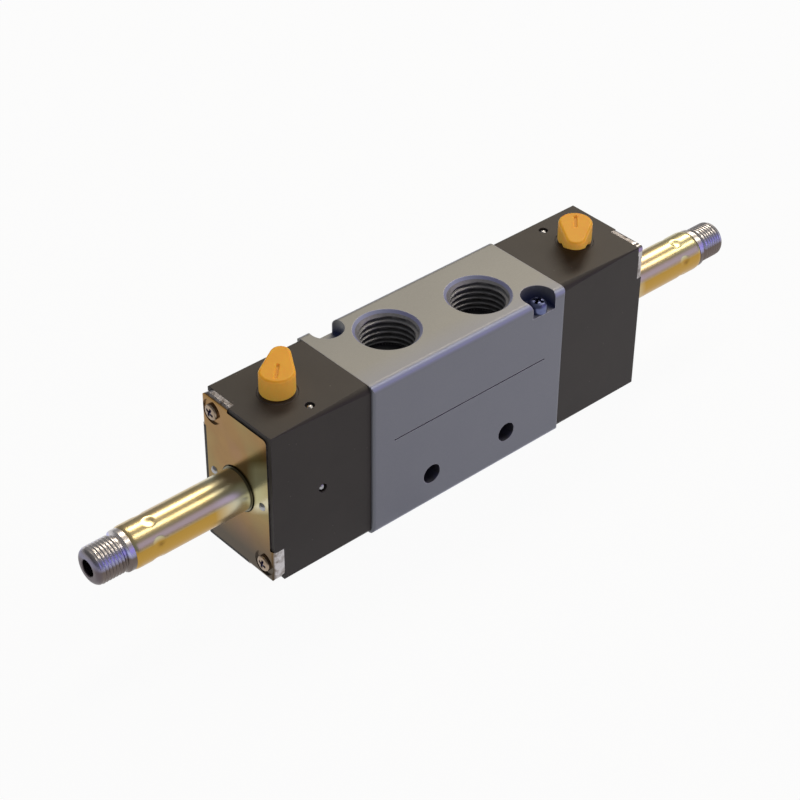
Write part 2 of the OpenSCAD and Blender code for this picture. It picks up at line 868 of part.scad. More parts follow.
// The flat of the plate with its two wrapped corners, made larger by grow
module plate_outline(grow) {
    rounded(end_w - 2 * (plate_inset_y - grow), end_h - 2 * (plate_inset_z - grow), plate_r + grow);
    for (s = [-1, 1])
        translate([-s * (end_w - corner_w) / 2, axis_z + s * (end_h - corner_h) / 2])
            square([corner_w + 2 * grow, corner_h + 2 * grow], center = true);
}

module end_plate() {
    color(yellow_zinc)
        difference() {
            intersection() {
                union() {
                    along_x(plate_seat, plate_face)
                        plate_outline(0);
                    wrap(0);
                }
                along_x(plate_face - 2 * lower_tab_l, plate_face + past)
                    rounded(end_w, end_h, corner_r);
            }
            bar_x(root_d + 2 * tube_hole_gap, plate_seat - past, plate_face + past);
            plate_screw_places() {
                bar_x(small_hole_d, plate_seat - past, plate_face + past, 0, 0);
                bar_x(dish_d, plate_face - dish_depth, plate_face + past, 0, 0);
            }
            for (s = [-1, 1])
                bar_x(pin_d + 2 * fit_gap, plate_seat - past, plate_face + past, s * pin_y);
            bend_rounding();
        }
}

// Rounds the fold along the top, the base and both sides of the wrapped corners
module bend_rounding() {
    for (s = [-1, 1]) {
        translate([plate_face, -s * (end_w - corner_w) / 2, axis_z + s * end_h / 2])
            rotate([90, 0, 0])
                linear_extrude(corner_w + past, center = true)
                    mirror([0, s > 0 ? 0 : 1])
                        bend_corner();
        translate([plate_face, -s * end_w / 2, axis_z + s * (end_h - corner_h) / 2])
            linear_extrude(corner_h + past, center = true)
                mirror([0, s > 0 ? 1 : 0])
                    bend_corner();
    }
}

module bend_corner() {
    difference() {
        translate([-bend_r, -bend_r])
            square(bend_r + past);
        translate([-bend_r, -bend_r])
            circle(bend_r);
    }
}

module plate_screws() {
    color(bright_steel)
        plate_screw_places()
            translate([plate_face - dish_depth, 0, 0])
                rotate([0, 90, 0])
                    pan_screw(small_screw_d, plate_screw_l - free_gap, plate_head_d, plate_head_h);
}

module locating_pins() {
    color(bright_steel)
        for (s = [-1, 1]) {
            bar_x(pin_d, plate_seat - pin_grip, plate_face, s * pin_y);
            intersection() {
                bar_x(pin_d, plate_face, plate_face + pin_dome, s * pin_y);
                translate([plate_face + pin_dome - dome_r, s * pin_y, axis_z])
                    sphere(dome_r);
            }
        }
}

// Armature tube, core and plunger

module armature_tube() {
    lip_r = core_r + fit_gap;
    color(yellow_zinc)
        difference() {
            turned()
                difference() {
                    union() {
                        translate([tube_in_r, plate_seat - flange_t])
                            square([flange_d / 2 - tube_in_r, flange_t]);
                        translate([tube_in_r, plate_seat - flange_t])
                            square([root_d / 2 - tube_in_r, flange_t + plate_t + root_out]);
                        translate([tube_in_r, plate_seat - flange_t])
                            square([tube_wall, tube_end - plate_seat + flange_t - tube_wall]);
                        translate([tube_r - tube_wall, tube_end - tube_wall])
                            circle(tube_wall);
                    }
                    square([lip_r, 2 * tube_end]);
                }
            for (i = [0:crimp_count - 1])
                translate([crimp_x, 0, axis_z])
                    rotate([360 / crimp_count * (i + 0.5), 0, 0])
                        translate([0, 0, tube_r + crimp_r - crimp_depth])
                            sphere(crimp_r);
        }
}

module tube_ring() {
    color(black_rubber)
        cord_ring(ring_mean_r, tube_ring_cord - 2 * fit_gap, plate_seat - flange_t - ring_gland / 2);
}

module core_stud() {
    color(dull_steel)
        difference() {
            turned() {
                polygon([
                    [0, core_x], [core_r, core_x], [core_r, tube_end + fit_gap],
                    [shoulder_d / 2, tube_end + fit_gap], [shoulder_d / 2, shoulder_end],
                    [neck_d / 2, shoulder_end + (shoulder_d - neck_d) / 4],
                    [neck_d / 2, neck_end - (stud_d - neck_d) / 2], [stud_r, neck_end],
                    [stud_r, tip_x - tip_r], [stud_r - tip_r, tip_x - tip_r],
                    [stud_r - tip_r, tip_x], [0, tip_x]
                ]);
                translate([stud_r - tip_r, tip_x - tip_r])
                    circle(tip_r);
            }
            bar_x(tip_hole_d, tip_x - tip_hole_depth, tip_x + past);
            shading_groove(fit_gap);
        }
}

module shading_groove(gap) {
    difference() {
        bar_x(shade_d + 2 * gap, core_x - gap, core_x + shade_w + gap);
        bar_x(shade_d - 2 * shade_w - 2 * gap, core_x - past, core_x + shade_w + past);
    }
}

module shading_ring() {
    color(copper_red)
        shading_groove(0);
}

module plunger() {
    color(dull_steel)
        difference() {
            bar_x(2 * plunger_r, plunger_x, plunger_end);
            bar_x(nose_d + 2 * fit_gap, plunger_x - past, plunger_x + nose_grip);
            bar_x(spring_bore_d, spring_x, plunger_end + past);
        }
}

module plunger_nose() {
    color(black_rubber)
        bar_x(nose_d, nozzle_tip_x, plunger_x + nose_grip);
}

// A point on the spring's centre line, as a share t of its length
function coil_point(t, r, l, turns) =
    [r * cos(360 * turns * t), r * sin(360 * turns * t), l * t];

// Corner j of the wire's cross-section at share t, square to the turn
function wire_corner(t, j, sides, r, l, turns) =
    let (a = 360 * turns * t, b = 360 * j / sides, w = wire_d / 2)
    coil_point(t, r, l, turns) + [w * cos(b) * cos(a), w * cos(b) * sin(a), w * sin(b)];

module coil_spring(r, l, turns, sides = 6, steps = 16) {
    rings = turns * steps;
    points = [for (i = [0:rings], j = [0:sides - 1])
        wire_corner(i / rings, j, sides, r, l, turns)];
    skin = [for (i = [0:rings - 1], j = [0:sides - 1])
        let (k = (j + 1) % sides)
        [i * sides + j, (i + 1) * sides + j, (i + 1) * sides + k, i * sides + k]];
    first_cap = [for (j = [0:sides - 1]) j];
    last_cap = [for (j = [sides - 1:-1:0]) rings * sides + j];
    polyhedron(points, concat(skin, [first_cap], [last_cap]));
}

module plunger_spring() {
    coil_r = spring_bore_d / 2 - wire_d / 2 - slide_gap * 3;
    color(bright_steel)
        translate([spring_x + wire_d / 2 + fit_gap, 0, axis_z])
            rotate([0, 90, 0])
                coil_spring(coil_r, core_x - spring_x - wire_d - 2 * fit_gap, spring_turns);
}

// Manual override

module override_bush() {
    color(black_housing)
        turned_upright(stem_x, 0)
            polygon([
                [stem_d / 2 + slide_gap, bush_z], [bush_d / 2, bush_z], [bush_d / 2, spot_z],
                [bush_flange_d / 2, spot_z], [bush_flange_d / 2, spot_z + bush_flange_h],
                [stem_d / 2 + slide_gap, spot_z + bush_flange_h]
            ]);
}

// The stem turns with the lever; its eccentric pin reaches towards the plunger
module override_stem() {
    groove_r = stem_d / 2 - stem_ring_cord;
    color(brass_yellow)
        difference() {
            union() {
                bar_z(stem_d, stem_bottom, tang_top, stem_x, 0);
                bar_z(bush_d - 4 * slide_gap, collar_z, collar_top, stem_x, 0);
                bar_z(cam_d, cam_bottom, stem_bottom + past / 2, stem_x, -cam_offset);
            }
            turned_upright(stem_x, 0)
                translate([groove_r, stem_ring_z - stem_gland / 2])
                    square([stem_d, stem_gland]);
            tang_cut(stem_d, 0);
        }
}

module tang_cut(depth, gap) {
    translate([stem_x, 0, 0])
        rotate([0, 0, nose_angle])
            translate([tang_flat + gap, -depth, lever_z])
                cube([depth, 2 * depth, hub_h]);
}

module stem_ring() {
    mean_r = stem_d / 2 - stem_ring_cord / 2 + fit_gap;
    color(black_rubber)
        turned_upright(stem_x, 0)
            translate([mean_r, stem_ring_z])
                circle(d = stem_ring_cord - fit_gap);
}

// The point where a flank of the nose meets the circle of radius r round [cx, 0]
function flank_point(cx, r, side) =
    [cx + r * cos(flank_angle), side * r * sin(flank_angle)];

module nose_outline() {
    polygon([
        [0, 0], flank_point(0, hub_d / 2, -1), flank_point(nose_c, nose_tip_r, -1),
        flank_point(nose_c, nose_tip_r, 1), flank_point(0, hub_d / 2, 1)
    ]);
    translate([nose_c, 0])
        circle(nose_tip_r);
}

// The nose's underside slopes up from the hub to the tip
module nose_underside() {
    slope = atan((hub_h - nose_tip_h - nose_heel) / (nose_reach - hub_d / 2));
    translate([nose_reach, 0, hub_h - nose_tip_h])
        rotate([0, -slope, 0])
            translate([-2 * nose_reach, -hub_d, -2 * hub_h])
                cube([3 * nose_reach, 2 * hub_d, 2 * hub_h]);
}

module lever_shape() {
    rotate_extrude() {
        translate([0, hub_foot_r])
            square([hub_d / 2, hub_h - hub_foot_r]);
        square([hub_d / 2 - hub_foot_r, hub_h]);
        intersection() {
            translate([hub_d / 2 - hub_foot_r, hub_foot_r])
                circle(hub_foot_r);
            square([hub_d / 2, hub_foot_r]);
        }
    }
    difference() {
        linear_extrude(hub_h)
            nose_outline();
        nose_underside();
    }
}

module override_lever() {
    color(orange_lever)
        difference() {
            translate([stem_x, 0, lever_z])
                rotate([0, 0, nose_angle])
                    lever_shape();
            difference() {
                bar_z(stem_d + 2 * fit_gap, lever_z - past, tang_top + fit_gap, stem_x, 0);
                tang_cut(stem_d, fit_gap);
            }
            translate([stem_x, 0, lever_top])
                rotate([0, 0, nose_angle]) {
                    cube([mark_l - mark_w, mark_w, 2 * mark_depth], center = true);
                    for (s = [-1, 1])
                        translate([s * (mark_l - mark_w) / 2, 0, 0])
                            cylinder(d = mark_w, h = 2 * mark_depth, center = true);
                }
        }
}

valve_body();
seal_cages();
spool_seals();
stack_washers();
corner_screw();
spool();
at_left() gasket();  // gasket_left
at_left() pilot_housing();  // pilot_housing_left
at_left() housing_screws();  // housing_screws_left
at_left() pilot_nozzle();  // pilot_nozzle_left
at_left() override_bush();  // override_bush_left
at_left() plug_balls();  // plug_balls_left
at_left() end_plate();  // end_plate_left
at_left() plate_screws();  // plate_screws_left
at_left() locating_pins();  // locating_pins_left
at_left() armature_tube();  // armature_tube_left
at_left() tube_ring();  // tube_ring_left
at_left() core_stud();  // core_stud_left
at_left() shading_ring();  // shading_ring_left
translate([spool_rest, 0, 0]) at_left() piston();  // piston_left
translate([spool_rest, 0, 0]) at_left() piston_seal();  // piston_seal_left
at_left() plunger();  // plunger_left
at_left() plunger_nose();  // plunger_nose_left
at_left() plunger_spring();  // plunger_spring_left
at_left() override_lever();  // override_lever_left
at_left() override_stem();  // override_stem_left
at_left() stem_ring();  // stem_ring_left
gasket();  // gasket_right
pilot_housing();  // pilot_housing_right
housing_screws();  // housing_screws_right
pilot_nozzle();  // pilot_nozzle_right
override_bush();  // override_bush_right
plug_balls();  // plug_balls_right
end_plate();  // end_plate_right
plate_screws();  // plate_screws_right
locating_pins();  // locating_pins_right
armature_tube();  // armature_tube_right
tube_ring();  // tube_ring_right
core_stud();  // core_stud_right
shading_ring();  // shading_ring_right
translate([spool_rest, 0, 0]) piston();  // piston_right
translate([spool_rest, 0, 0]) piston_seal();  // piston_seal_right
plunger();  // plunger_right
plunger_nose();  // plunger_nose_right
plunger_spring();  // plunger_spring_right
override_lever();  // override_lever_right
override_stem();  // override_stem_right
stem_ring();  // stem_ring_right
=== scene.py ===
import json
import math

import bmesh
import bpy
import numpy as np
from mathutils import Matrix, Vector


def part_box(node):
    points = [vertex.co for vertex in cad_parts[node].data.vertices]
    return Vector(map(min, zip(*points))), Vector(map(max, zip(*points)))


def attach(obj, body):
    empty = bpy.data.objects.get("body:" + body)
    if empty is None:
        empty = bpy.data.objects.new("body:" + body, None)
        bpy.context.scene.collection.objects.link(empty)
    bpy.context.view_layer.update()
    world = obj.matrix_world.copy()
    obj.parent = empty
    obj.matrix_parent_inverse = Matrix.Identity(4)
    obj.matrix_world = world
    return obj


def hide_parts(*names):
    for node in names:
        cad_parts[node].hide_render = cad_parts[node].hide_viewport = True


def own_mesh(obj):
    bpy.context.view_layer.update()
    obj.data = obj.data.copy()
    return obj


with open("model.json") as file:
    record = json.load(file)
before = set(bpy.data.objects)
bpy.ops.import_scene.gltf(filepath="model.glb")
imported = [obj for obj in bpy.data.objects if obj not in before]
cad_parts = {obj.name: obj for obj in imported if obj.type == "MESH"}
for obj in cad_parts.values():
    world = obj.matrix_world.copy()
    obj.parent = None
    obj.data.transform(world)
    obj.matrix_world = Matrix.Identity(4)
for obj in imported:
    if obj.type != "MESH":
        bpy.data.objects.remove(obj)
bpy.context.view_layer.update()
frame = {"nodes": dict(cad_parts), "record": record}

# Valve body. A bar of aluminium, drilled and threaded, then blasted and anodised natural grey: a
# satin skin with a very fine grain, rubbed pale on its edges under a painted bluish highlight, and
# with painted shade in its hollows.

MM = 0.001
BODY_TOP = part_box("valve_body")[1].z


def linear(colour):
    """An sRGB hex colour as linear RGBA: c / 12.92 up to 0.04045, else ((c + 0.055) / 1.055) ^ 2.4."""
    parts = [int(colour[i:i + 2], 16) / 255 for i in (1, 3, 5)]
    return [c / 12.92 if c <= 0.04045 else ((c + 0.055) / 1.055) ** 2.4 for c in parts] + [1.0]


def feed(node, inputs):
    """Sets each input, by name or number, to a number or a hex colour, or links it to a socket or to
    the first output in use of another node."""
    for name, value in inputs.items():
        in_use = [socket for socket in node.inputs if socket.enabled and socket.name == name]
        socket = in_use[0] if in_use else node.inputs[name]
        if isinstance(value, bpy.types.Node):
            value = next(output for output in value.outputs if output.enabled)
        if isinstance(value, bpy.types.NodeSocket):
            node.id_data.links.new(value, socket)
        else:
            socket.default_value = linear(value) if isinstance(value, str) else value


def add(tree, kind, inputs=None, **settings):
    """Adds a node, gives it its settings and feeds its inputs."""
    node = tree.nodes.new("ShaderNode" + kind)
    for name, value in settings.items():
        setattr(node, name, value)
    feed(node, inputs or {})
    return node


def new_finish(name, roughness, metallic=0.0):
    """A new material, its node tree, its Principled shader and the piece's own coordinates."""
    material = bpy.data.materials.new(name)
    material.use_nodes = True
    tree = material.node_tree
    shader = tree.nodes["Principled BSDF"]
    feed(shader, {"Roughness": roughness, "Metallic": metallic})
    return material, tree, shader, add(tree, "TexCoord").outputs["Object"]


def clouded(tree, place, size, detail, low, high, **extra):
    """A colour that drifts between two tones in clouds of about that size, and the clouds."""
    cloud = add(tree, "TexNoise", {"Vector": place, "Scale": 1 / size, "Detail": detail, **extra})
    return add(tree, "Mix", {"Factor": cloud, "A": low, "B": high}, data_type="RGBA"), cloud


def tint(tree, shade, colour, value, start, full, most=1.0):
    """Lays a colour over a shade: none of it where the value is at start, most where it is at full."""
    share = add(tree, "MapRange", {"Value": value, "From Min": start, "From Max": full,
                                   "To Max": most})
    return add(tree, "Mix", {"Factor": share, "A": shade, "B": colour}, data_type="RGBA")


def tint_by_room(tree, shade, colour, reach, start, full, most=1.0):
    """Tints by how open the surface is: one where nothing of the same piece stands within that
    reach, nought deep in a hole."""
    room = add(tree, "AmbientOcclusion", {"Distance": reach}, samples=8, only_local=True)
    return tint(tree, shade, colour, room.outputs["AO"], start, full, most)


def edge_wear_and_highlight(tree, radius):
    """Nought on flat faces, up to one where the surface turns within that radius, and the normal as
    that radius rounds it."""
    rounded = add(tree, "Bevel", {"Radius": radius}, samples=4)
    turn = add(tree, "VectorMath", {0: rounded, 1: add(tree, "NewGeometry").outputs["Normal"]},
               operation="DOT_PRODUCT")
    return add(tree, "MapRange", {"Value": turn, "From Min": 0.995, "From Max": 0.9}), rounded


def anodised_aluminium():
    """Natural anodised aluminium, blasted: metal under a clear oxide, grit 0.1 mm, drawn at 0.25 mm.
    Painted bluish fill light towards the -Y face, painted reflections on the countersinks and
    a painted highlight on slopes that face up and out; edges are rubbed pale under a painted
    highlight, and painted shade darkens the engraved line and the deep hollows, near black, with
    painted blue light near the top."""
    material, tree, shader, place = new_finish("anodised_aluminium", 0.42, 0.25)
    fine, grain = clouded(tree, place, 0.25 * MM, 3.0, "#6E6E70", "#9E9E9E", Roughness=0.6)
    shade, _ = clouded(tree, place, 14 * MM, 3.0, "#7C7D7B", "#8B8C88")
    shade = add(tree, "Mix", {"Factor": 0.3, "A": shade, "B": fine}, data_type="RGBA")
    at = add(tree, "SeparateXYZ", {"Vector": place}).outputs
    # Painted bluish fill light: the colour turns bluer towards the -Y face.
    shade = tint(tree, shade, "#7C84A4", at["Y"], -5 * MM, -11 * MM, 0.35)
    facing = add(tree, "SeparateXYZ", {"Vector": add(tree, "NewGeometry").outputs["Normal"]}).outputs
    # Painted lavender reflection on the countersink cones and other surfaces that slope between flat
    # and upright.
    upright = add(tree, "Math", {0: facing["Z"]}, operation="ABSOLUTE")
    sloped = add(tree, "MapRange", {"Value": upright, "From Min": 0.95, "From Max": 0.8,
                                    "To Max": 0.7})
    shade = tint(tree, shade, "#9094CC", upright, 0.4, 0.6, sloped)
    # Painted bluish highlight on slopes that face both out along Y and up, as the rounded long edges
    # do.
    lean = add(tree, "Math", {0: facing["Y"], 1: facing["Z"]}, operation="MULTIPLY")
    lean = add(tree, "Math", {0: lean, 1: lean}, operation="MULTIPLY")
    shade = tint(tree, shade, "#A8B0CC", lean, 0.02, 0.2, 0.75)
    # Rubbed pale edges, with a painted bluish highlight on them.
    wear_and_highlight, rounded = edge_wear_and_highlight(tree, 0.25 * MM)
    shade = tint_by_room(tree, shade, "#C2C4D2", 0.6 * MM, 0.8, 0.97, wear_and_highlight)
    # Painted shade in the engraved line and other tight creases.
    shade = tint_by_room(tree, shade, "#3C383E", 0.4 * MM, 0.9, 0.55, 0.6)
    # Painted shade in deep hollows, near black, with painted blue light near the top.
    deep = tint(tree, "#3A3844", "#384478", at["Z"], 30 * MM, 33 * MM)
    shade = tint_by_room(tree, shade, deep, 5 * MM, 0.85, 0.5, 0.9)
    bump = add(tree, "Bump", {"Height": grain, "Strength": 0.12, "Distance": 0.05 * MM,
                              "Normal": rounded})
    feed(shader, {"Base Color": shade, "Normal": bump})
    return material


def dress(node, material):
    """Gives a CAD node its finish."""
    mesh = frame["nodes"][node].data
    mesh.materials.clear()
    mesh.materials.append(material)


dress("valve_body", anodised_aluminium())

# Port threads. Cut with a tap into the five ports, G1/4 in the supply and outlets and G1/8 in
# the exhausts: 19 and 28 turns to the inch, flanks at 55 degrees, crests and roots rounded.
# The countersink at each mouth cuts the first turn away.

INCH = 25.4 * MM
G_QUARTER = (13.157 / 2 * MM, INCH / 19, 7.9 * MM)  # major radius, pitch, depth
G_EIGHTH = (9.728 / 2 * MM, INCH / 28, 7.4 * MM)
PORTS_UP = {"port_2": G_QUARTER, "port_4": G_QUARTER}
PORTS_DOWN = {"port_1": G_QUARTER, "port_3": G_EIGHTH, "port_5": G_EIGHTH}
PORT_CHAMFER = 0.6 * MM
THREAD_HEIGHT = 0.64  # of a pitch
THREAD_FLAT = 0.125  # of the flank's rise, at the crest and at the root
THREAD_BACK = 0.12 * MM  # of the ring, behind the major radius
ROWS_PER_TURN = 12
WELD = 0.0005 * MM  # points nearer than this become one
MOUNTS = {mount["name"]: mount for mount in frame["record"]["mounts"]}


def skin(name, grid, material, body, closed=False, sharp=40):
    """A mesh from a grid of points in metres. Columns go round and close on themselves. Rows that
    are one point are poles; with closed set, the last row joins the first."""
    rows, columns, _ = grid.shape
    row = np.arange(rows if closed else rows - 1)[:, None]
    column = np.arange(columns)[None, :]
    after, beside = (row + 1) % rows, (column + 1) % columns
    quads = np.stack([row * columns + column, row * columns + beside,
                      after * columns + beside, after * columns + column], axis=-1)
    mesh = bpy.data.meshes.new(name)
    mesh.from_pydata(grid.reshape(-1, 3).tolist(), [], quads.reshape(-1, 4).tolist())
    shell = bmesh.new()
    shell.from_mesh(mesh)
    bmesh.ops.remove_doubles(shell, verts=shell.verts, dist=WELD)
    bmesh.ops.recalc_face_normals(shell, faces=shell.faces)
    shell.to_mesh(mesh)
    shell.free()
    mesh.shade_smooth()
    mesh.set_sharp_from_angle(angle=math.radians(sharp))
    mesh.materials.append(material)
    piece = bpy.data.objects.new(name, mesh)
    bpy.context.scene.collection.objects.link(piece)
    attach(piece, body)
    return piece


def round_turn(columns):
    """The angles of that many columns, evenly round one turn, as a row of the grid."""
    return np.linspace(0, 2 * np.pi, columns, endpoint=False)[None, :]


def thread_wave(phase):
    """One at a crest, nought at a root: half of one less the cosine of pi times a rise that runs
    straight up and down once a turn and is flattened at both ends."""
    straight = 1 - np.abs(2 * (phase % 1) - 1)
    rise = np.clip((1 + 2 * THREAD_FLAT) * straight - THREAD_FLAT, 0, 1)
    return 0.5 - 0.5 * np.cos(np.pi * rise)


def cut_thread():
    """Freshly cut aluminium, oily: crests catch the light, and painted shade darkens it going down
    the hole.
    """
    material, tree, shader, place = new_finish("cut_thread", 0.45, 0.7)
    shade, marks = clouded(tree, place, 0.5 * MM, 4.0, "#7C7C80", "#A4A4A8")
    # Painted shade, deeper going down the hole.
    shade = tint_by_room(tree, shade, "#3A3838", 6 * MM, 0.7, 0.1, 0.85)
    bump = add(tree, "Bump", {"Height": marks, "Strength": 0.15, "Distance": 0.04 * MM})
    feed(shader, {"Base Color": shade, "Normal": bump})
    return material


THREAD = cut_thread()


def port_thread(name, up, major, pitch, depth):
    """A ring whose inner wall is the major radius less the thread's height times the thread wave,
    where the wave's phase is the depth over the pitch less the share of the turn. No point lies
    further in than the countersink's cone, and the last turn fades out."""
    centre = MOUNTS[name]["pos_m"]
    mouth = BODY_TOP if up > 0 else 0.0
    turn = round_turn(128)
    down = np.linspace(0, depth, int(depth / pitch * ROWS_PER_TURN))[:, None] + PORT_CHAMFER
    fade = np.clip((depth + PORT_CHAMFER - down) / pitch, 0, 1)
    wave = thread_wave(down / pitch - turn / (2 * np.pi))
    cone = major + PORT_CHAMFER - down
    wall = np.maximum(major - THREAD_HEIGHT * pitch * wave * fade, cone)
    radius = np.concatenate([wall, np.full_like(wall, major + THREAD_BACK)])
    depths = np.concatenate([down, down[::-1]]) + 0 * turn
    grid = np.stack([centre[0] + radius * np.cos(turn), centre[1] + radius * np.sin(turn),
                     mouth - up * depths], axis=-1)
    skin(name + "_thread", grid, THREAD, "valve", closed=True)


for up, ports in {1: PORTS_UP, -1: PORTS_DOWN}.items():
    for port, (major, pitch, depth) in ports.items():
        port_thread(port, up, major, pitch, depth)

# Corner screw. A small pan-head screw with a cross recess, zinc plated steel with a blue
# passivation, sunk in the right-hand counterbore that breaks out of the side face.

CORNER_SEAT = (20.2 * MM, -9.9 * MM, BODY_TOP - 3.6 * MM)
CORNER_SCREW = {"head_r": 2.0 * MM, "head_h": 2.8 * MM, "shank_r": 1.25 * MM, "shank_l": 33.5 * MM}
RIM = 0.45  # of the head's height
HEAD_SIDE = 0.88  # of the head's height, up to the crown
SHANK_TIP, SHANK_CONE = 0.7, 0.3  # of the shank's radius: the tip's radius and its cone's length
RECESS_REACH = 0.62  # of the head's radius
RECESS_DEPTH = 0.75  # of the head's height
RECESS_RISE = 0.62  # of the depth, from the middle to the ends
SLIT_HALF, SLIT_SIDE, SLIT_END = 0.27, 0.06, 0.12  # of the reach: half width, slopes


def plated_screw(name, low, high, recess):
    """Zinc plate clouded by handling, between two tones, with painted shade in the cross recess."""
    material, tree, shader, place = new_finish(name, 0.34, 1.0)
    shade, cloud = clouded(tree, place, 1.2 * MM, 4.0, low, high)
    # Painted shade in the cross recess.
    shade = tint_by_room(tree, shade, recess, 0.7 * MM, 0.9, 0.55)
    bump = add(tree, "Bump", {"Height": cloud, "Strength": 0.2, "Distance": 0.05 * MM})
    feed(shader, {"Base Color": shade, "Normal": bump})
    return material


def cross_recess(x, y, reach, depth):
    """Depth of a cross recess: two crossed slits with sloped sides and ends, deepest in the middle,
    whose floor rises in a straight line to the ends."""
    x, y = np.abs(x), np.abs(y)
    across, along = np.minimum(x, y), np.maximum(x, y)
    edge = np.clip((SLIT_HALF * reach - across) / (SLIT_SIDE * reach), 0, 1)
    end = np.clip((reach - along) / (SLIT_END * reach), 0, 1)
    return depth * (1 - RECESS_RISE * along / reach) * edge * end


def pan_head_screw(name, seat, axis, turned, material, head_r, head_h, shank_r, shank_l):
    """A screw along its own axis: radius and height follow the profile tip, shank, underside, rounded
    rim, crowned top, and the top is lowered by the cross recess."""
    turn = round_turn(96)
    bend = np.linspace(0, np.pi / 2, 8)
    crown = np.linspace(1, 0, 44)
    rim = RIM * head_h
    radius = np.concatenate([[0, shank_r * SHANK_TIP, shank_r, shank_r, head_r],
                             head_r - rim + rim * np.cos(bend), (head_r - rim) * crown[1:]])
    height = np.concatenate([[-shank_l, -shank_l, -shank_l + SHANK_CONE * shank_r, 0, 0],
                             head_h * HEAD_SIDE - rim + rim * np.sin(bend),
                             head_h * (HEAD_SIDE + (1 - HEAD_SIDE) * (1 - crown[1:] ** 2))])
    radius, height = radius[:, None] + 0 * turn, height[:, None] + 0 * turn
    x, y = radius * np.cos(turn), radius * np.sin(turn)
    on_top = height > head_h / 2
    height = height - on_top * cross_recess(x, y, RECESS_REACH * head_r, RECESS_DEPTH * head_h)
    spin = Matrix.Rotation(math.radians(turned), 3, "Z")
    stand = Vector(axis).to_track_quat("Z", "Y").to_matrix() @ spin
    grid = np.stack([x, y, height], axis=-1) @ np.array(stand).T + np.array(seat)
    return skin(name, grid, material, "valve", sharp=32)


# Blue passivated zinc, its tones darkened by painted shade of the counterbore it sits in.
BLUE_ZINC = plated_screw("blue_zinc", "#3E4464", "#7A82AA", "#1C2034")
screw = pan_head_screw("corner_screw_cross", CORNER_SEAT, axis=(0, 0, 1), turned=20,
                       material=BLUE_ZINC, **CORNER_SCREW)
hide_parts("corner_screw")

# Spool, seals, cages and the other pieces mostly inside. A steel shuttle slides in rubber seals
# that acetal cages hold apart, and only glimpses of them show through the ports. Pistons are
# acetal, nozzles brass, plungers soft steel.

SIDES = {"right": 1, "left": -1}  # with the sign of X


def plain_finish(name, low, high, roughness, metallic, grain, strength=0.1):
    """Two close tones in a cloud of one grain size, with a little bump."""
    material, tree, shader, place = new_finish(name, roughness, metallic)
    shade, cloud = clouded(tree, place, grain, 4.0, low, high)
    bump = add(tree, "Bump", {"Height": cloud, "Strength": strength, "Distance": 0.05 * MM})
    feed(shader, {"Base Color": shade, "Normal": bump})
    return material


ACETAL = plain_finish("acetal", "#C9C5B6", "#DDD9CB", 0.45, 0.0, 2.0 * MM)
RUBBER = plain_finish("nitrile_rubber", "#1C1C1C", "#2A2A2A", 0.6, 0.0, 0.4 * MM)
STEEL = plain_finish("ground_steel", "#B2B2B4", "#C8C8CA", 0.18, 1.0, 0.6 * MM, 0.05)
BRASS = plain_finish("turned_brass", "#A88842", "#C2A258", 0.25, 1.0, 0.6 * MM, 0.05)
IRON = plain_finish("plunger_steel", "#74757C", "#8C8D94", 0.3, 1.0, 0.6 * MM, 0.05)

for node, finish in {"seal_cages": ACETAL, "spool_seals": RUBBER, "stack_washers": STEEL,
                     "spool": STEEL}.items():
    dress(node, finish)
for side in SIDES:
    for node, finish in {"piston_": ACETAL, "piston_seal_": RUBBER, "gasket_": RUBBER,
                         "pilot_nozzle_": BRASS, "plunger_": IRON, "plunger_nose_": RUBBER,
                         "tube_ring_": RUBBER, "housing_screws_": IRON}.items():
        dress(node + side, finish)

# Pilot housings. Machined blocks with a black satin coat, finer than the body's, with specks
# of dust and a slightly lighter line where the long edges are rubbed, partly a painted highlight.


def black_coat():
    """Black anodised block: a dark, even satin skin with grit 0.1 mm, drawn at 0.3 mm, and dust."""
    material, tree, shader, place = new_finish("black_anodised", 0.5)
    grain = add(tree, "TexNoise", {"Vector": place, "Scale": 1 / (0.3 * MM), "Detail": 3.0})
    shade, _ = clouded(tree, place, 9 * MM, 4.0, "#35312F", "#413C39")
    dust = add(tree, "TexVoronoi", {"Vector": place, "Scale": 1 / (3.1 * MM)})
    shade = tint(tree, shade, "#6E6862", dust, 0.05, 0.03, 0.5)
    # Rubbed long edges, lighter and violet: partly wear, partly a painted highlight.
    wear_and_highlight, rounded = edge_wear_and_highlight(tree, 0.2 * MM)
    shade = add(tree, "Mix", {"Factor": wear_and_highlight, "A": shade, "B": "#57535B"}, data_type="RGBA")
    bump = add(tree, "Bump", {"Height": grain, "Strength": 0.2, "Distance": 0.05 * MM,
                              "Normal": rounded})
    feed(shader, {"Specular IOR Level": 0.25, "Base Color": shade, "Normal": bump})
    return material


BLACK = black_coat()
for side in SIDES:
    dress("pilot_housing_" + side, BLACK)

# Plug balls. Ground steel balls pressed into the ends of the drilled passages, where they sit a
# little below the surface and have dulled.

BALL = plain_finish("ball_steel", "#98989C", "#B4B4B8", 0.32, 1.0, 0.5 * MM, 0.05)
for side in SIDES:
    dress("plug_balls_" + side, BALL)

# Manual overrides. A lever moulded in orange nylon is pressed on a brass stem: a round hub with
# a nose whose straight flanks are tangent to both, and a screwdriver slot across the top. The
# stem turns in a black bush, whose flange fills a round spot face of the housing.

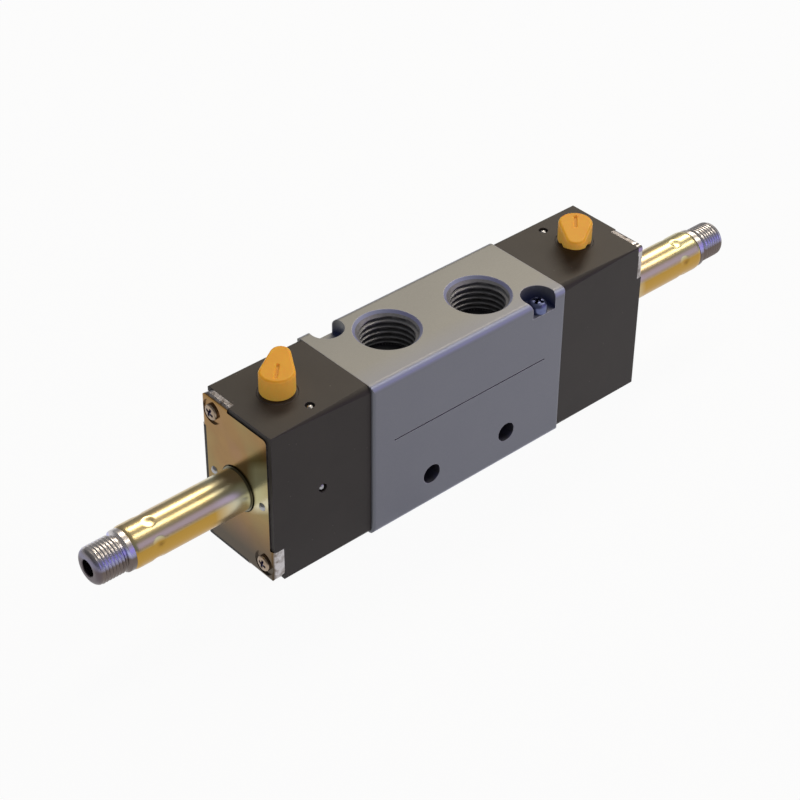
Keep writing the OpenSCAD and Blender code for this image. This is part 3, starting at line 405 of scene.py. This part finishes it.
LEVER_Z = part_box("override_lever_right")[0].z
LEVER_H = 4.9 * MM
LEVER_EDGE = 0.6 * MM
STEM_X = 40.8 * MM
HUB_R = 3.65 * MM
NOSE_TIP_R = 2.1 * MM
NOSE_REACH = 8.6 * MM
NOSE_TIP_H = 2.0 * MM
NOSE_HEEL = 1.0 * MM
NOSE_STEP = 0.12  # of the hub's radius
NOSE_TURN = {"right": 225, "left": 45}  # degrees from +X
SLOT_W = 0.75 * MM
SLOT_L = 4.8 * MM
SLOT_DEPTH = 0.5 * MM
SLOT_SIDE = 0.16 * MM  # width of its sloped wall
SLOT_ROUNDING = 0.05 * MM  # by which the top is wider
SLOT_ZONE = SLOT_L / 2 + 0.1 * MM  # round the axis, with nothing else in it that is low
SLOT_SHADE = 0.55  # share of the painted shade's colour in the slot
HAIR = 0.01 * MM  # heights and radii nearer than this are the same
BUSH_LOW, BUSH_FLANGE = (corner.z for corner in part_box("override_bush_right"))
BUSH_SPOT = BUSH_FLANGE - 0.2 * MM
BUSH_TOP = BUSH_FLANGE + 0.1 * MM
BUSH_BORE, BUSH_SLEEVE, BUSH_RIM = 2.05 * MM, 3.0 * MM, 4.1 * MM
BUSH_EDGE = 0.05 * MM


def orange_nylon():
    """Injection moulded nylon: warm orange that light goes a little way into, with flow marks 3 mm
    wide and a fine mould grain. The flanks are painted lighter, a painted glow, stronger at the
    flanks, stands for light scattered back out, and painted shade darkens the slot."""
    material, tree, shader, place = new_finish("orange_nylon", 0.42)
    shade, _ = clouded(tree, place, 3 * MM, 3.0, "#D48E08", "#DFA014", Distortion=0.8)
    fine = add(tree, "TexNoise", {"Vector": place, "Scale": 1 / (0.35 * MM), "Detail": 2.0})
    facing = add(tree, "SeparateXYZ", {"Vector": add(tree, "NewGeometry").outputs["Normal"]}).outputs
    # Painted light: the flanks are lighter than the top.
    shade = tint(tree, shade, "#EDAE40", facing["Z"], 0.8, 0.3)
    # Painted shade in the slot, by the attribute the lever sets.
    slot = add(tree, "Attribute", attribute_name="painted_slot_shade").outputs["Fac"]
    shade = add(tree, "Mix", {"Factor": slot, "A": shade, "B": "#BC7210"}, data_type="RGBA")
    # Painted glow, stronger at the flanks, standing for light scattered back out of the nylon.
    glow = tint(tree, "#CDA246", "#F0BE58", facing["Z"], 0.8, 0.3)
    bump = add(tree, "Bump", {"Height": fine, "Strength": 0.1, "Distance": 0.05 * MM})
    feed(shader, {"Subsurface Weight": 0.6, "Subsurface Radius": (1.0, 0.4, 0.1),
                  "Subsurface Scale": 2.2 * MM, "Specular IOR Level": 0.22,
                  "Emission Strength": 0.2, "Emission Color": glow, "Base Color": shade,
                  "Normal": bump})
    return material


ORANGE = orange_nylon()


def lever_outline(turn, inset):
    """Distance from the axis to the outline, in a direction measured from the nose: the furthest of
    the hub circle, the tangent flank and the tip circle, all moved in by inset."""
    hub, tip = HUB_R - inset, NOSE_TIP_R - inset
    tip_x = NOSE_REACH - NOSE_TIP_R
    lean = math.acos((HUB_R - NOSE_TIP_R) / tip_x)
    turn = np.abs((turn + np.pi) % (2 * np.pi) - np.pi)
    flank = hub / np.maximum(np.cos(turn - lean), 1e-6)
    join = math.atan2(tip * math.sin(lean), tip_x + tip * math.cos(lean))
    nose = tip_x * np.cos(turn) + np.sqrt(np.maximum(tip ** 2 - (tip_x * np.sin(turn)) ** 2, 0))
    return np.where(turn > lean, hub, np.where(turn > join, flank, nose))


def underside(radius):
    """Height of the underside at that radius: flat under the hub, a smooth step up to the heel over
    an eighth of its radius, then a straight rise to the tip."""
    out = np.clip((radius - HUB_R) / (NOSE_REACH - HUB_R), 0, 1)
    step = np.clip((radius / HUB_R - 1) / NOSE_STEP, 0, 1)
    return (NOSE_HEEL + out * (LEVER_H - NOSE_TIP_H - NOSE_HEEL)) * step ** 2 * (3 - 2 * step)


def override_lever(side, sign):
    """Rows go from the middle of the top out to its edge, round it, down the flank, and in along the
    underside. The flank's foot follows the nose's sloping underside, and the slot lowers the top.
    An attribute holds the share of painted shade for each vertex, by how deep in the slot it lies."""
    turn = round_turn(192)
    bend = np.linspace(0, np.pi / 2, 8)[1:, None]
    outer, inner = lever_outline(turn, 0.0), lever_outline(turn, LEVER_EDGE)
    top_r = inner * np.linspace(0, 1, 56)[:, None]
    edge_r = inner + (outer - inner) * np.sin(bend)
    edge_drop = LEVER_EDGE * (1 - np.cos(bend))
    low = underside(outer)
    under_r = inner * np.linspace(1, 0, 25)[1:, None]
    radius = np.concatenate([top_r, edge_r, edge_r[::-1], inner, under_r])
    height = np.concatenate([np.full_like(top_r, LEVER_H), LEVER_H - edge_drop + 0 * turn,
                             low + edge_drop[::-1], low, underside(under_r)])
    x, y = radius * np.cos(turn), radius * np.sin(turn)
    from_line = np.hypot(np.maximum(np.abs(x) - (SLOT_L - SLOT_W) / 2, 0), y)
    slot = np.clip((SLOT_W / 2 + SLOT_ROUNDING - from_line) / SLOT_SIDE, 0, 1)
    height = height - SLOT_DEPTH * slot * (height > LEVER_H - HAIR)
    nose = math.radians(NOSE_TURN[side])
    grid = np.stack([sign * STEM_X + x * math.cos(nose) - y * math.sin(nose),
                     x * math.sin(nose) + y * math.cos(nose), LEVER_Z + height], axis=-1)
    piece = skin("lever_" + side, grid, ORANGE, "override_" + side, sharp=50)
    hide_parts("override_lever_" + side)
    places = np.empty(len(piece.data.vertices) * 3, np.float32)
    piece.data.vertices.foreach_get("co", places)
    # Painted shade in the slot: the deeper a vertex near the axis lies, the darker.
    drop = (LEVER_Z + LEVER_H - places[2::3]) / SLOT_DEPTH
    near = np.hypot(places[0::3] - sign * STEM_X, places[1::3]) < SLOT_ZONE
    depth = piece.data.attributes.new("painted_slot_shade", "FLOAT", "POINT")
    depth.data.foreach_set("value", (np.clip(drop, 0, 1) * near * SLOT_SHADE).astype(np.float32))


def override_bush(side, sign):
    """A turned ring, whose profile goes up the bore, out over the flange and down the sleeve."""
    turn = round_turn(96)
    radius = np.array([BUSH_BORE, BUSH_BORE, BUSH_RIM - BUSH_EDGE, BUSH_RIM, BUSH_RIM,
                       BUSH_SLEEVE, BUSH_SLEEVE])[:, None]
    height = np.array([BUSH_LOW, BUSH_TOP, BUSH_TOP, BUSH_TOP - BUSH_EDGE, BUSH_SPOT, BUSH_SPOT,
                       BUSH_LOW])[:, None]
    grid = np.stack([sign * STEM_X + radius * np.cos(turn), radius * np.sin(turn),
                     height + 0 * turn], axis=-1)
    piece = skin("bush_" + side, grid, BLACK, "valve", closed=True)
    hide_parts("override_bush_" + side)


for side, sign in SIDES.items():
    override_bush(side, sign)
    override_lever(side, sign)
    dress("override_stem_" + side, BRASS)
    dress("stem_ring_" + side, RUBBER)

# End plates. Pressed from steel sheet with two corners folded round the housing, zinc plated
# and yellow passivated: a brown-gold mirror with clouds of green and rose, rubbed at the folds.

AXIS_Z = BODY_TOP / 2
PLATE_T = 0.9 * MM
PLATE_MIDDLE = 51 * MM  # the plates' X; X times Y over it is Y, its sign turned on the left
PALE_RISE = 0.62  # up per distance across, for the painted reflection band


def yellow_passivate(name, roughness, size, dark, light, green, rose):
    """Yellow chromate over bright zinc: metal whose tint drifts between two golds in clouds of that
    size, with wider patches of green and rose, as the film's thickness does."""
    material, tree, shader, place = new_finish(name, roughness, 1.0)
    shade, _ = clouded(tree, place, size, 2.0, dark, light, Distortion=1.2)
    patch = add(tree, "TexNoise", {"Vector": place, "W": 3.0, "Scale": 1 / (2.6 * size),
                                   "Detail": 1.0}, noise_dimensions="4D")
    shade = tint(tree, shade, green, patch, 0.52, 0.68, 0.55)
    shade = tint(tree, shade, rose, patch, 0.45, 0.32, 0.5)
    return material, tree, shader, place, shade


def plate_finish():
    """The passivate on sheet, darker and browner towards the foot. A pale band, a painted
    reflection of the tube, runs from the tube up to the edge on one side. On the folded tabs, which
    face away from X, it has rubbed through to white zinc, with dark stains about 1 mm wide."""
    material, tree, shader, place, shade = yellow_passivate(
        "yellow_zinc_sheet", 0.2, 5 * MM, "#86663A", "#9A7643", "#86804E", "#946C56")
    at = add(tree, "SeparateXYZ", {"Vector": place}).outputs
    shade = tint(tree, shade, "#423A2E", at["Z"], 15 * MM, 4 * MM, 0.95)
    # Painted reflection of the tube: a pale band rising from the tube to one edge.
    across = add(tree, "Math", {0: at["X"], 1: at["Y"]}, operation="MULTIPLY")
    across = add(tree, "Math", {0: across, 1: PLATE_MIDDLE}, operation="DIVIDE")
    line = add(tree, "Math", {0: across, 1: PALE_RISE, 2: AXIS_Z}, operation="MULTIPLY_ADD")
    off = add(tree, "Math", {0: at["Z"], 1: line}, operation="SUBTRACT")
    off = add(tree, "Math", {0: off}, operation="ABSOLUTE")
    outward = add(tree, "MapRange", {"Value": across, "From Min": 3 * MM, "From Max": 6 * MM,
                                     "To Max": 0.8})
    shade = tint(tree, shade, "#DED6B6", off, 6.8 * MM, 4.5 * MM, outward)
    stain = add(tree, "TexNoise", {"Vector": place, "Scale": 1 / (1.1 * MM), "Detail": 2.0})
    bare = tint(tree, "#BCB8BA", "#807874", stain, 0.42, 0.7)
    facing = add(tree, "SeparateXYZ", {"Vector": add(tree, "NewGeometry").outputs["Normal"]}).outputs
    square = add(tree, "Math", {0: facing["X"], 1: facing["X"]}, operation="MULTIPLY")
    shade = tint(tree, shade, bare, square, 0.75, 0.3)
    bump = add(tree, "Bump", {"Height": stain, "Strength": 0.06, "Distance": 0.05 * MM})
    feed(shader, {"Base Color": shade, "Normal": bump})
    return material


SHEET = plate_finish()
for side in SIDES:
    dress("end_plate_" + side, SHEET)

# Plate screws and locating pins. The screws are the corner screw's kind, passivated with the
# plates, and sit in shallow dishes of the plate. The pins are ground steel with domed ends.

PLATE_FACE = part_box("end_plate_right")[1].x
DISH_DEPTH = 0.4 * MM
PLATE_SCREW_Y = 7.4 * MM
PLATE_SCREW_Z = 14.6 * MM
PLATE_SCREW_ENDS = (("top", 1, 65), ("foot", -1, -15))  # end, its way up, degrees turned
PLATE_SCREW = {"head_r": 1.75 * MM, "head_h": 1.0 * MM, "shank_r": 1.25 * MM, "shank_l": 8.7 * MM}
GOLD_ZINC = plated_screw("gold_zinc", "#8C7862", "#B4A290", "#5A5C80")

for side, sign in SIDES.items():
    for end, up, turned in PLATE_SCREW_ENDS:
        seat = (sign * (PLATE_FACE - DISH_DEPTH), -sign * up * PLATE_SCREW_Y,
                AXIS_Z + up * PLATE_SCREW_Z)
        screw = pan_head_screw(f"plate_screw_{side}_{end}", seat, axis=(sign, 0, 0), turned=turned,
                               material=GOLD_ZINC, **PLATE_SCREW)
        if end == "top":
            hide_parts("plate_screws_" + side)
    dress("locating_pins_" + side, BALL)

# Armature tubes. Drawn and turned tube, plated and passivated as the end plates are, with a paler
# film. A flange under the plate holds it, and six punch dents near the outer end hold the core.

TUBE_R = 4.6 * MM
TUBE_WALL = 0.65 * MM
TUBE_END = 78.8 * MM
PLATE_SEAT = PLATE_FACE - PLATE_T
FLANGE_R = 6.2 * MM
FLANGE_T = 1.5 * MM
ROOT_R = 4.9 * MM
ROOT_OUT = 0.3 * MM
END_ROLL = 1.2 * MM
END_DROP = 0.38 * MM
END_LIP = 0.12 * MM
CRIMPS = 6
CRIMP_X = TUBE_END - 5.4 * MM
CRIMP_R = 1.6 * MM
CRIMP_DEPTH = 0.26 * MM
CRIMP_TURN = 0.32  # radians
CRIMP_ROWS = 1.7 * MM  # to each side of the dents


def tube_finish():
    """The passivate on the tube, pale straw, with painted reflections by height over the tube's
    radius: pale green at the side and orange gold below. It pales towards the plate, and painted
    shade darkens the groove of the collar."""
    material, tree, shader, place, shade = yellow_passivate(
        "yellow_zinc_tube", 0.28, 6 * MM, "#CEB67E", "#DDCDA2", "#CAC8A0", "#D2B9A2")
    at = add(tree, "SeparateXYZ", {"Vector": place}).outputs
    height = add(tree, "Math", {0: at["Z"], 1: AXIS_Z}, operation="SUBTRACT")
    height = add(tree, "Math", {0: height, 1: TUBE_R}, operation="DIVIDE")
    out = add(tree, "Math", {0: at["X"]}, operation="ABSOLUTE")
    # Painted reflections by height, green at the side and orange gold below, then paler towards the
    # plate, and painted shade in the collar's groove.
    for colour, value, start, full, most in (
            ("#C4C6A8", height, 0.78, 0.6, 0.75),
            ("#B58A30", height, 0.52, 0.3, 0.92),
            ("#E4E8D4", out, PLATE_FACE + 9 * MM, PLATE_FACE + 2 * MM, 0.9),
            ("#5E5642", out, PLATE_FACE + 0.7 * MM, PLATE_FACE + 0.4 * MM, 0.85)):
        shade = tint(tree, shade, colour, value, start, full, most)
    feed(shader, {"Base Color": shade})
    return material


TUBE = tube_finish()


def punch_dents(along, turn):
    """How far the six round dents push the wall in: the depth times (1 - share)^2, where the share is
    the squared distance on the wall from the dent's middle over the dent's squared radius."""
    step = 2 * np.pi / CRIMPS
    off = ((turn + CRIMP_TURN) % step) - step / 2
    share = ((along - CRIMP_X) ** 2 + (TUBE_R * off) ** 2) / CRIMP_R ** 2
    return CRIMP_DEPTH * np.clip(1 - share, 0, 1) ** 2


def along_axis(sign, along, radius, turn):
    """Points at a distance along X and a radius round the spool axis; the turn starts at the top."""
    return np.stack([sign * along + 0 * turn, -sign * radius * np.sin(turn),
                     AXIS_Z + radius * np.cos(turn)], axis=-1)


def armature_tube(side, sign):
    """Rows go along the bore, over the rolled end, back down the outside over the dents and the root
    collar, and round the flange."""
    turn = round_turn(192)
    bend, lip = np.linspace(0, np.pi / 2, 12), np.linspace(0, np.pi / 2, 6)
    bore = TUBE_R - TUBE_WALL
    back, root = PLATE_SEAT - FLANGE_T, PLATE_FACE + ROOT_OUT
    dents_out, dents_in = CRIMP_X + CRIMP_ROWS, CRIMP_X - CRIMP_ROWS
    wall = np.concatenate([np.linspace(TUBE_END - END_ROLL, dents_out, 8)[1:],
                           np.linspace(dents_out, dents_in, 56)[1:],
                           np.linspace(dents_in, root, 10)[1:]])
    along = np.concatenate([[back, TUBE_END - (TUBE_R - END_DROP - bore) / 2],
                            TUBE_END - END_LIP * (1 - np.sin(lip)),
                            TUBE_END - END_ROLL * (1 - np.cos(bend)), wall,
                            [root, PLATE_SEAT, PLATE_SEAT, back]])[:, None]
    radius = np.concatenate([[bore, bore], bore + END_LIP * (1 - np.cos(lip)),
                             TUBE_R - END_DROP * (1 - np.sin(bend)), np.full(len(wall), TUBE_R),
                             [ROOT_R, ROOT_R, FLANGE_R, FLANGE_R]])[:, None] + 0 * turn
    dents = punch_dents(along, sign * turn) * (radius > TUBE_R - HAIR)
    grid = along_axis(sign, along, radius - dents, turn)
    piece = skin("tube_" + side, grid, TUBE, "valve", closed=True, sharp=35)
    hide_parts("armature_tube_" + side)


for side, sign in SIDES.items():
    armature_tube(side, sign)

# Fixed cores. Turned from soft magnetic steel, left bare and oiled: a shoulder outside the tube,
# then the fine thread for the coil nut, a rounded tip and a blind hole. Each has a copper ring in
# its inner face, and a steel wire spring stands between it and the plunger's bore.

CORE_X = 65.4 * MM
CORE_R = 3.93 * MM
FACE_EDGE = 0.2 * MM
SHOULDER_R = 4.4 * MM
SHOULDER_END = 80.0 * MM
NECK_R = 3.6 * MM
NECK_END = 81.2 * MM
NECK_SLOPE = 0.4 * MM
STUD_R = 4.0 * MM
TIP_X = 87.2 * MM
TIP_R = 1.5 * MM
TIP_HOLE_R = 1.8 * MM
TIP_HOLE_DEPTH = 9 * MM
TURNED_EDGE = 0.15 * MM
NUT_PITCH = 0.75 * MM
NUT_THREAD_HEIGHT = 0.3  # of a pitch
NUT_THREAD_START = 0.6 * MM  # in from the tip
NUT_THREAD_FADE_OUT, NUT_THREAD_FADE_IN = 0.8 * MM, 0.3 * MM
NUT_THREAD_IN = STUD_R - 0.6 * MM  # inside this radius the rounded tip stays plain
RING_OUT = 3.42 * MM
RING_IN = 2.58 * MM
RING_DEPTH = 0.82 * MM
CONTACT = 0.03 * MM  # left free at the plunger's full lift
FIT_GAP = 0.02 * MM
SPRING_X = 55.5 * MM
SPRING_R = 1.8 * MM
SPRING_TURNS = 7
ROWS_PER_COIL = 32
WIRE_R = 0.25 * MM
COPPER = plain_finish("copper", "#A2643E", "#B87850", 0.3, 1.0, 0.8 * MM, 0.05)


def core_steel():
    """Turned soft steel, oiled: pale grey on top, with a painted blue reflection at the side, painted
    brown shade below and painted shade at the tip. Tool marks of 0.1 mm are drawn 1.9 mm apart,
    very faint."""
    material, tree, shader, place = new_finish("core_steel", 0.32, 1.0)
    marks = add(tree, "TexWave", {"Vector": place, "Scale": 1 / (6 * MM), "Distortion": 2.0,
                                  "Detail": 2.0, "Detail Scale": 4.0}, bands_direction="X")
    shade, _ = clouded(tree, place, 1.6 * MM, 4.0, "#C8C2C2", "#E2DEDE")
    at = add(tree, "SeparateXYZ", {"Vector": place}).outputs
    out = add(tree, "Math", {0: at["X"]}, operation="ABSOLUTE")
    # Painted light and shade: blue reflection at the side, brown shade below, dark tip.
    for colour, value, start, full, most in (
            ("#B8BCF0", at["Z"], AXIS_Z + 3.2 * MM, AXIS_Z + 2.4 * MM, 0.85),
            ("#66594C", at["Z"], AXIS_Z + 1.9 * MM, AXIS_Z + 0.8 * MM, 0.95),
            ("#5E565C", out, TIP_X - 1.1 * MM, TIP_X - 0.3 * MM, 0.8)):
        shade = tint(tree, shade, colour, value, start, full, most)
    bump = add(tree, "Bump", {"Height": marks.outputs["Fac"], "Strength": 0.02,
                              "Distance": 0.03 * MM})
    feed(shader, {"Base Color": shade, "Normal": bump})
    return material


CORE = core_steel()


def core_stud(side, sign):
    """Rows go from the hole's bottom out over the tip, along the thread and the shoulder to the inner
    face, and round the shading ring's groove to the axis. The thread takes its height times one
    less the thread wave off the stud's radius, and fades out at both ends."""
    turn = round_turn(144)
    bend = np.linspace(0, np.pi / 2, 14)
    thread = np.linspace(TIP_X - TIP_R, NECK_END, 76)[1:]
    face, groove = CORE_X + CONTACT, CORE_X + RING_DEPTH
    along = np.concatenate([
        [TIP_X - TIP_HOLE_DEPTH, TIP_X - TIP_HOLE_DEPTH, TIP_X - TURNED_EDGE, TIP_X],
        TIP_X - TIP_R * (1 - np.cos(bend)), thread,
        [NECK_END - NECK_SLOPE, SHOULDER_END + NECK_SLOPE, SHOULDER_END,
         SHOULDER_END - TURNED_EDGE, TUBE_END, TUBE_END, face + FACE_EDGE, face, face,
         groove, groove, face, face]])[:, None]
    radius = np.concatenate([
        [0, TIP_HOLE_R, TIP_HOLE_R, TIP_HOLE_R + TURNED_EDGE],
        STUD_R - TIP_R * (1 - np.sin(bend)), np.full(len(thread), STUD_R),
        [NECK_R, NECK_R, SHOULDER_R - TURNED_EDGE, SHOULDER_R, SHOULDER_R, CORE_R, CORE_R,
         CORE_R - FACE_EDGE, RING_OUT, RING_OUT, RING_IN, RING_IN, 0]])[:, None] + 0 * turn
    fade = np.clip((TIP_X - NUT_THREAD_START - along) / NUT_THREAD_FADE_OUT, 0, 1)
    fade = fade * np.clip((along - NECK_END) / NUT_THREAD_FADE_IN, 0, 1)
    cut = fade * (1 - thread_wave(along / NUT_PITCH - turn / (2 * np.pi)))
    on_stud = radius > NUT_THREAD_IN
    radius = radius - NUT_THREAD_HEIGHT * NUT_PITCH * cut * on_stud
    grid = along_axis(sign, along, radius, turn)
    piece = skin("core_" + side, grid, CORE, "valve", sharp=40)
    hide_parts("core_stud_" + side)


def shading_ring(side, sign):
    """A copper ring in the core's groove: out along the inside, back along the outside."""
    turn = round_turn(96)
    near, far = CORE_X + CONTACT, CORE_X + RING_DEPTH - FIT_GAP
    along = np.array([near, far, far, near])[:, None]
    radius = np.array([RING_IN + FIT_GAP] * 2 + [RING_OUT - FIT_GAP] * 2)[:, None] + 0 * turn
    piece = skin("shading_" + side, along_axis(sign, along, radius, turn), COPPER, "valve",
                 closed=True)
    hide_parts("shading_ring_" + side)


def plunger_spring(side, sign):
    """A wire wound round the axis: its centre line turns and advances with the share of the length,
    the wire's circle stands square to it, and the first and last row close its ends."""
    share = np.linspace(0, 1, SPRING_TURNS * ROWS_PER_COIL + 1)[:, None]
    round_wire = round_turn(12)
    thick = np.where((share > 0) & (share < 1), WIRE_R, 0)
    first, last = SPRING_X + WIRE_R + FIT_GAP, CORE_X - WIRE_R - FIT_GAP
    along = first + share * (last - first) + thick * np.sin(round_wire)
    radius = SPRING_R + thick * np.cos(round_wire)
    grid = along_axis(sign, along, radius, 2 * np.pi * SPRING_TURNS * share + 0 * round_wire)
    piece = skin("spring_" + side, grid, STEEL, "plunger_" + side, sharp=60)
    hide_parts("plunger_spring_" + side)
    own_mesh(piece)


for side, sign in SIDES.items():
    shading_ring(side, sign)
    plunger_spring(side, sign)
    core_stud(side, sign)

# Studio. A pale floor, two long soft lamps high on the right, a broad dim blue one low in front,
# and an even grey room. The camera stands where the photograph's stood.

CAMERA_AT = Vector((-0.24188, -0.25960, 0.28380))
CAMERA_RIGHT = Vector((0.74772, -0.66398, 0.00687))
CAMERA_DOWN = Vector((-0.39716, -0.4555, -0.79673))
LENS_MM = 95.33
LAMP_FAR = 1.6
ROOM_LEVEL = 0.22
BACKDROP_GLOW = 0.95
FLOOR_HALF = 3.0


def lamp(name, direction, width, height, level, colour):
    """A soft rectangle in that direction, long side along X, that lights a facing surface to level."""
    away = Vector(direction).normalized()
    data = bpy.data.lights.new(name, "AREA")
    data.shape = "RECTANGLE"
    data.size, data.size_y = width, height
    data.energy = level * (math.pi * LAMP_FAR) ** 2
    data.color = linear(colour)[:3]
    stand = bpy.data.objects.new(name, data)
    across = (Vector((1, 0, 0)) - away * away.x).normalized()
    turn = Matrix((across, away.cross(across), away)).transposed()
    stand.matrix_world = Matrix.Translation(away * LAMP_FAR) @ turn.to_4x4()
    bpy.context.scene.collection.objects.link(stand)


lamp("lamp_back", (0.5226, 0.4214, 0.741), 1.3, 0.40, 0.52, "#FFF2DC")
lamp("lamp_front", (0.5226, -0.2493, 0.8153), 1.3, 0.26, 0.24, "#FFF6E4")
lamp("lamp_blue", (0.5226, -0.7900, 0.3200), 1.6, 0.8, 0.13, "#BEA2EC")

world = bpy.data.worlds.new("room")
bpy.context.scene.world = world
world.use_nodes = True
feed(world.node_tree.nodes["Background"], {"Color": "#FFFFFF", "Strength": ROOM_LEVEL})


def pale_floor():
    """Matt white paper. The camera, mirrors and glass see it nearly all as white glow, which lights
    nothing, and the rest as the paper with the object's shadow."""
    material, tree, shader, place = new_finish("paper", 0.9)
    shade, _ = clouded(tree, place, 4 * MM, 3.0, "#C0C0C2", "#C6C6C8")
    feed(shader, {"Base Color": shade})
    ray = add(tree, "LightPath").outputs
    seen = add(tree, "Math", {0: ray["Is Camera Ray"], 1: ray["Is Glossy Ray"]}, operation="MAXIMUM")
    seen = add(tree, "Math", {0: seen, 1: ray["Is Transmission Ray"]}, operation="MAXIMUM")
    share = add(tree, "Math", {0: seen, 1: BACKDROP_GLOW}, operation="MULTIPLY")
    glow = add(tree, "Emission", {"Color": "#FFFFFF", "Strength": 1.0})
    mixed = add(tree, "MixShader", {0: share, 1: shader, 2: glow})
    feed(tree.nodes["Material Output"], {"Surface": mixed})
    return material


floor_mesh = bpy.data.meshes.new("floor")
floor_mesh.from_pydata([(x * FLOOR_HALF, y * FLOOR_HALF, 0)
                        for x, y in ((-1, -1), (1, -1), (1, 1), (-1, 1))], [], [(0, 1, 2, 3)])
floor_mesh.materials.append(pale_floor())
floor = bpy.data.objects.new("floor", floor_mesh)
bpy.context.scene.collection.objects.link(floor)

camera_data = bpy.data.cameras.new("camera")
camera_data.sensor_width = 36
camera_data.lens = LENS_MM
camera_data.clip_start = 0.01
camera = bpy.data.objects.new("camera", camera_data)
look = Matrix((CAMERA_RIGHT, -CAMERA_DOWN, CAMERA_RIGHT.cross(-CAMERA_DOWN))).transposed()
camera.matrix_world = Matrix.Translation(CAMERA_AT) @ look.to_4x4()
bpy.context.scene.collection.objects.link(camera)
bpy.context.scene.camera = camera
bpy.context.scene.view_settings.view_transform = "Standard"
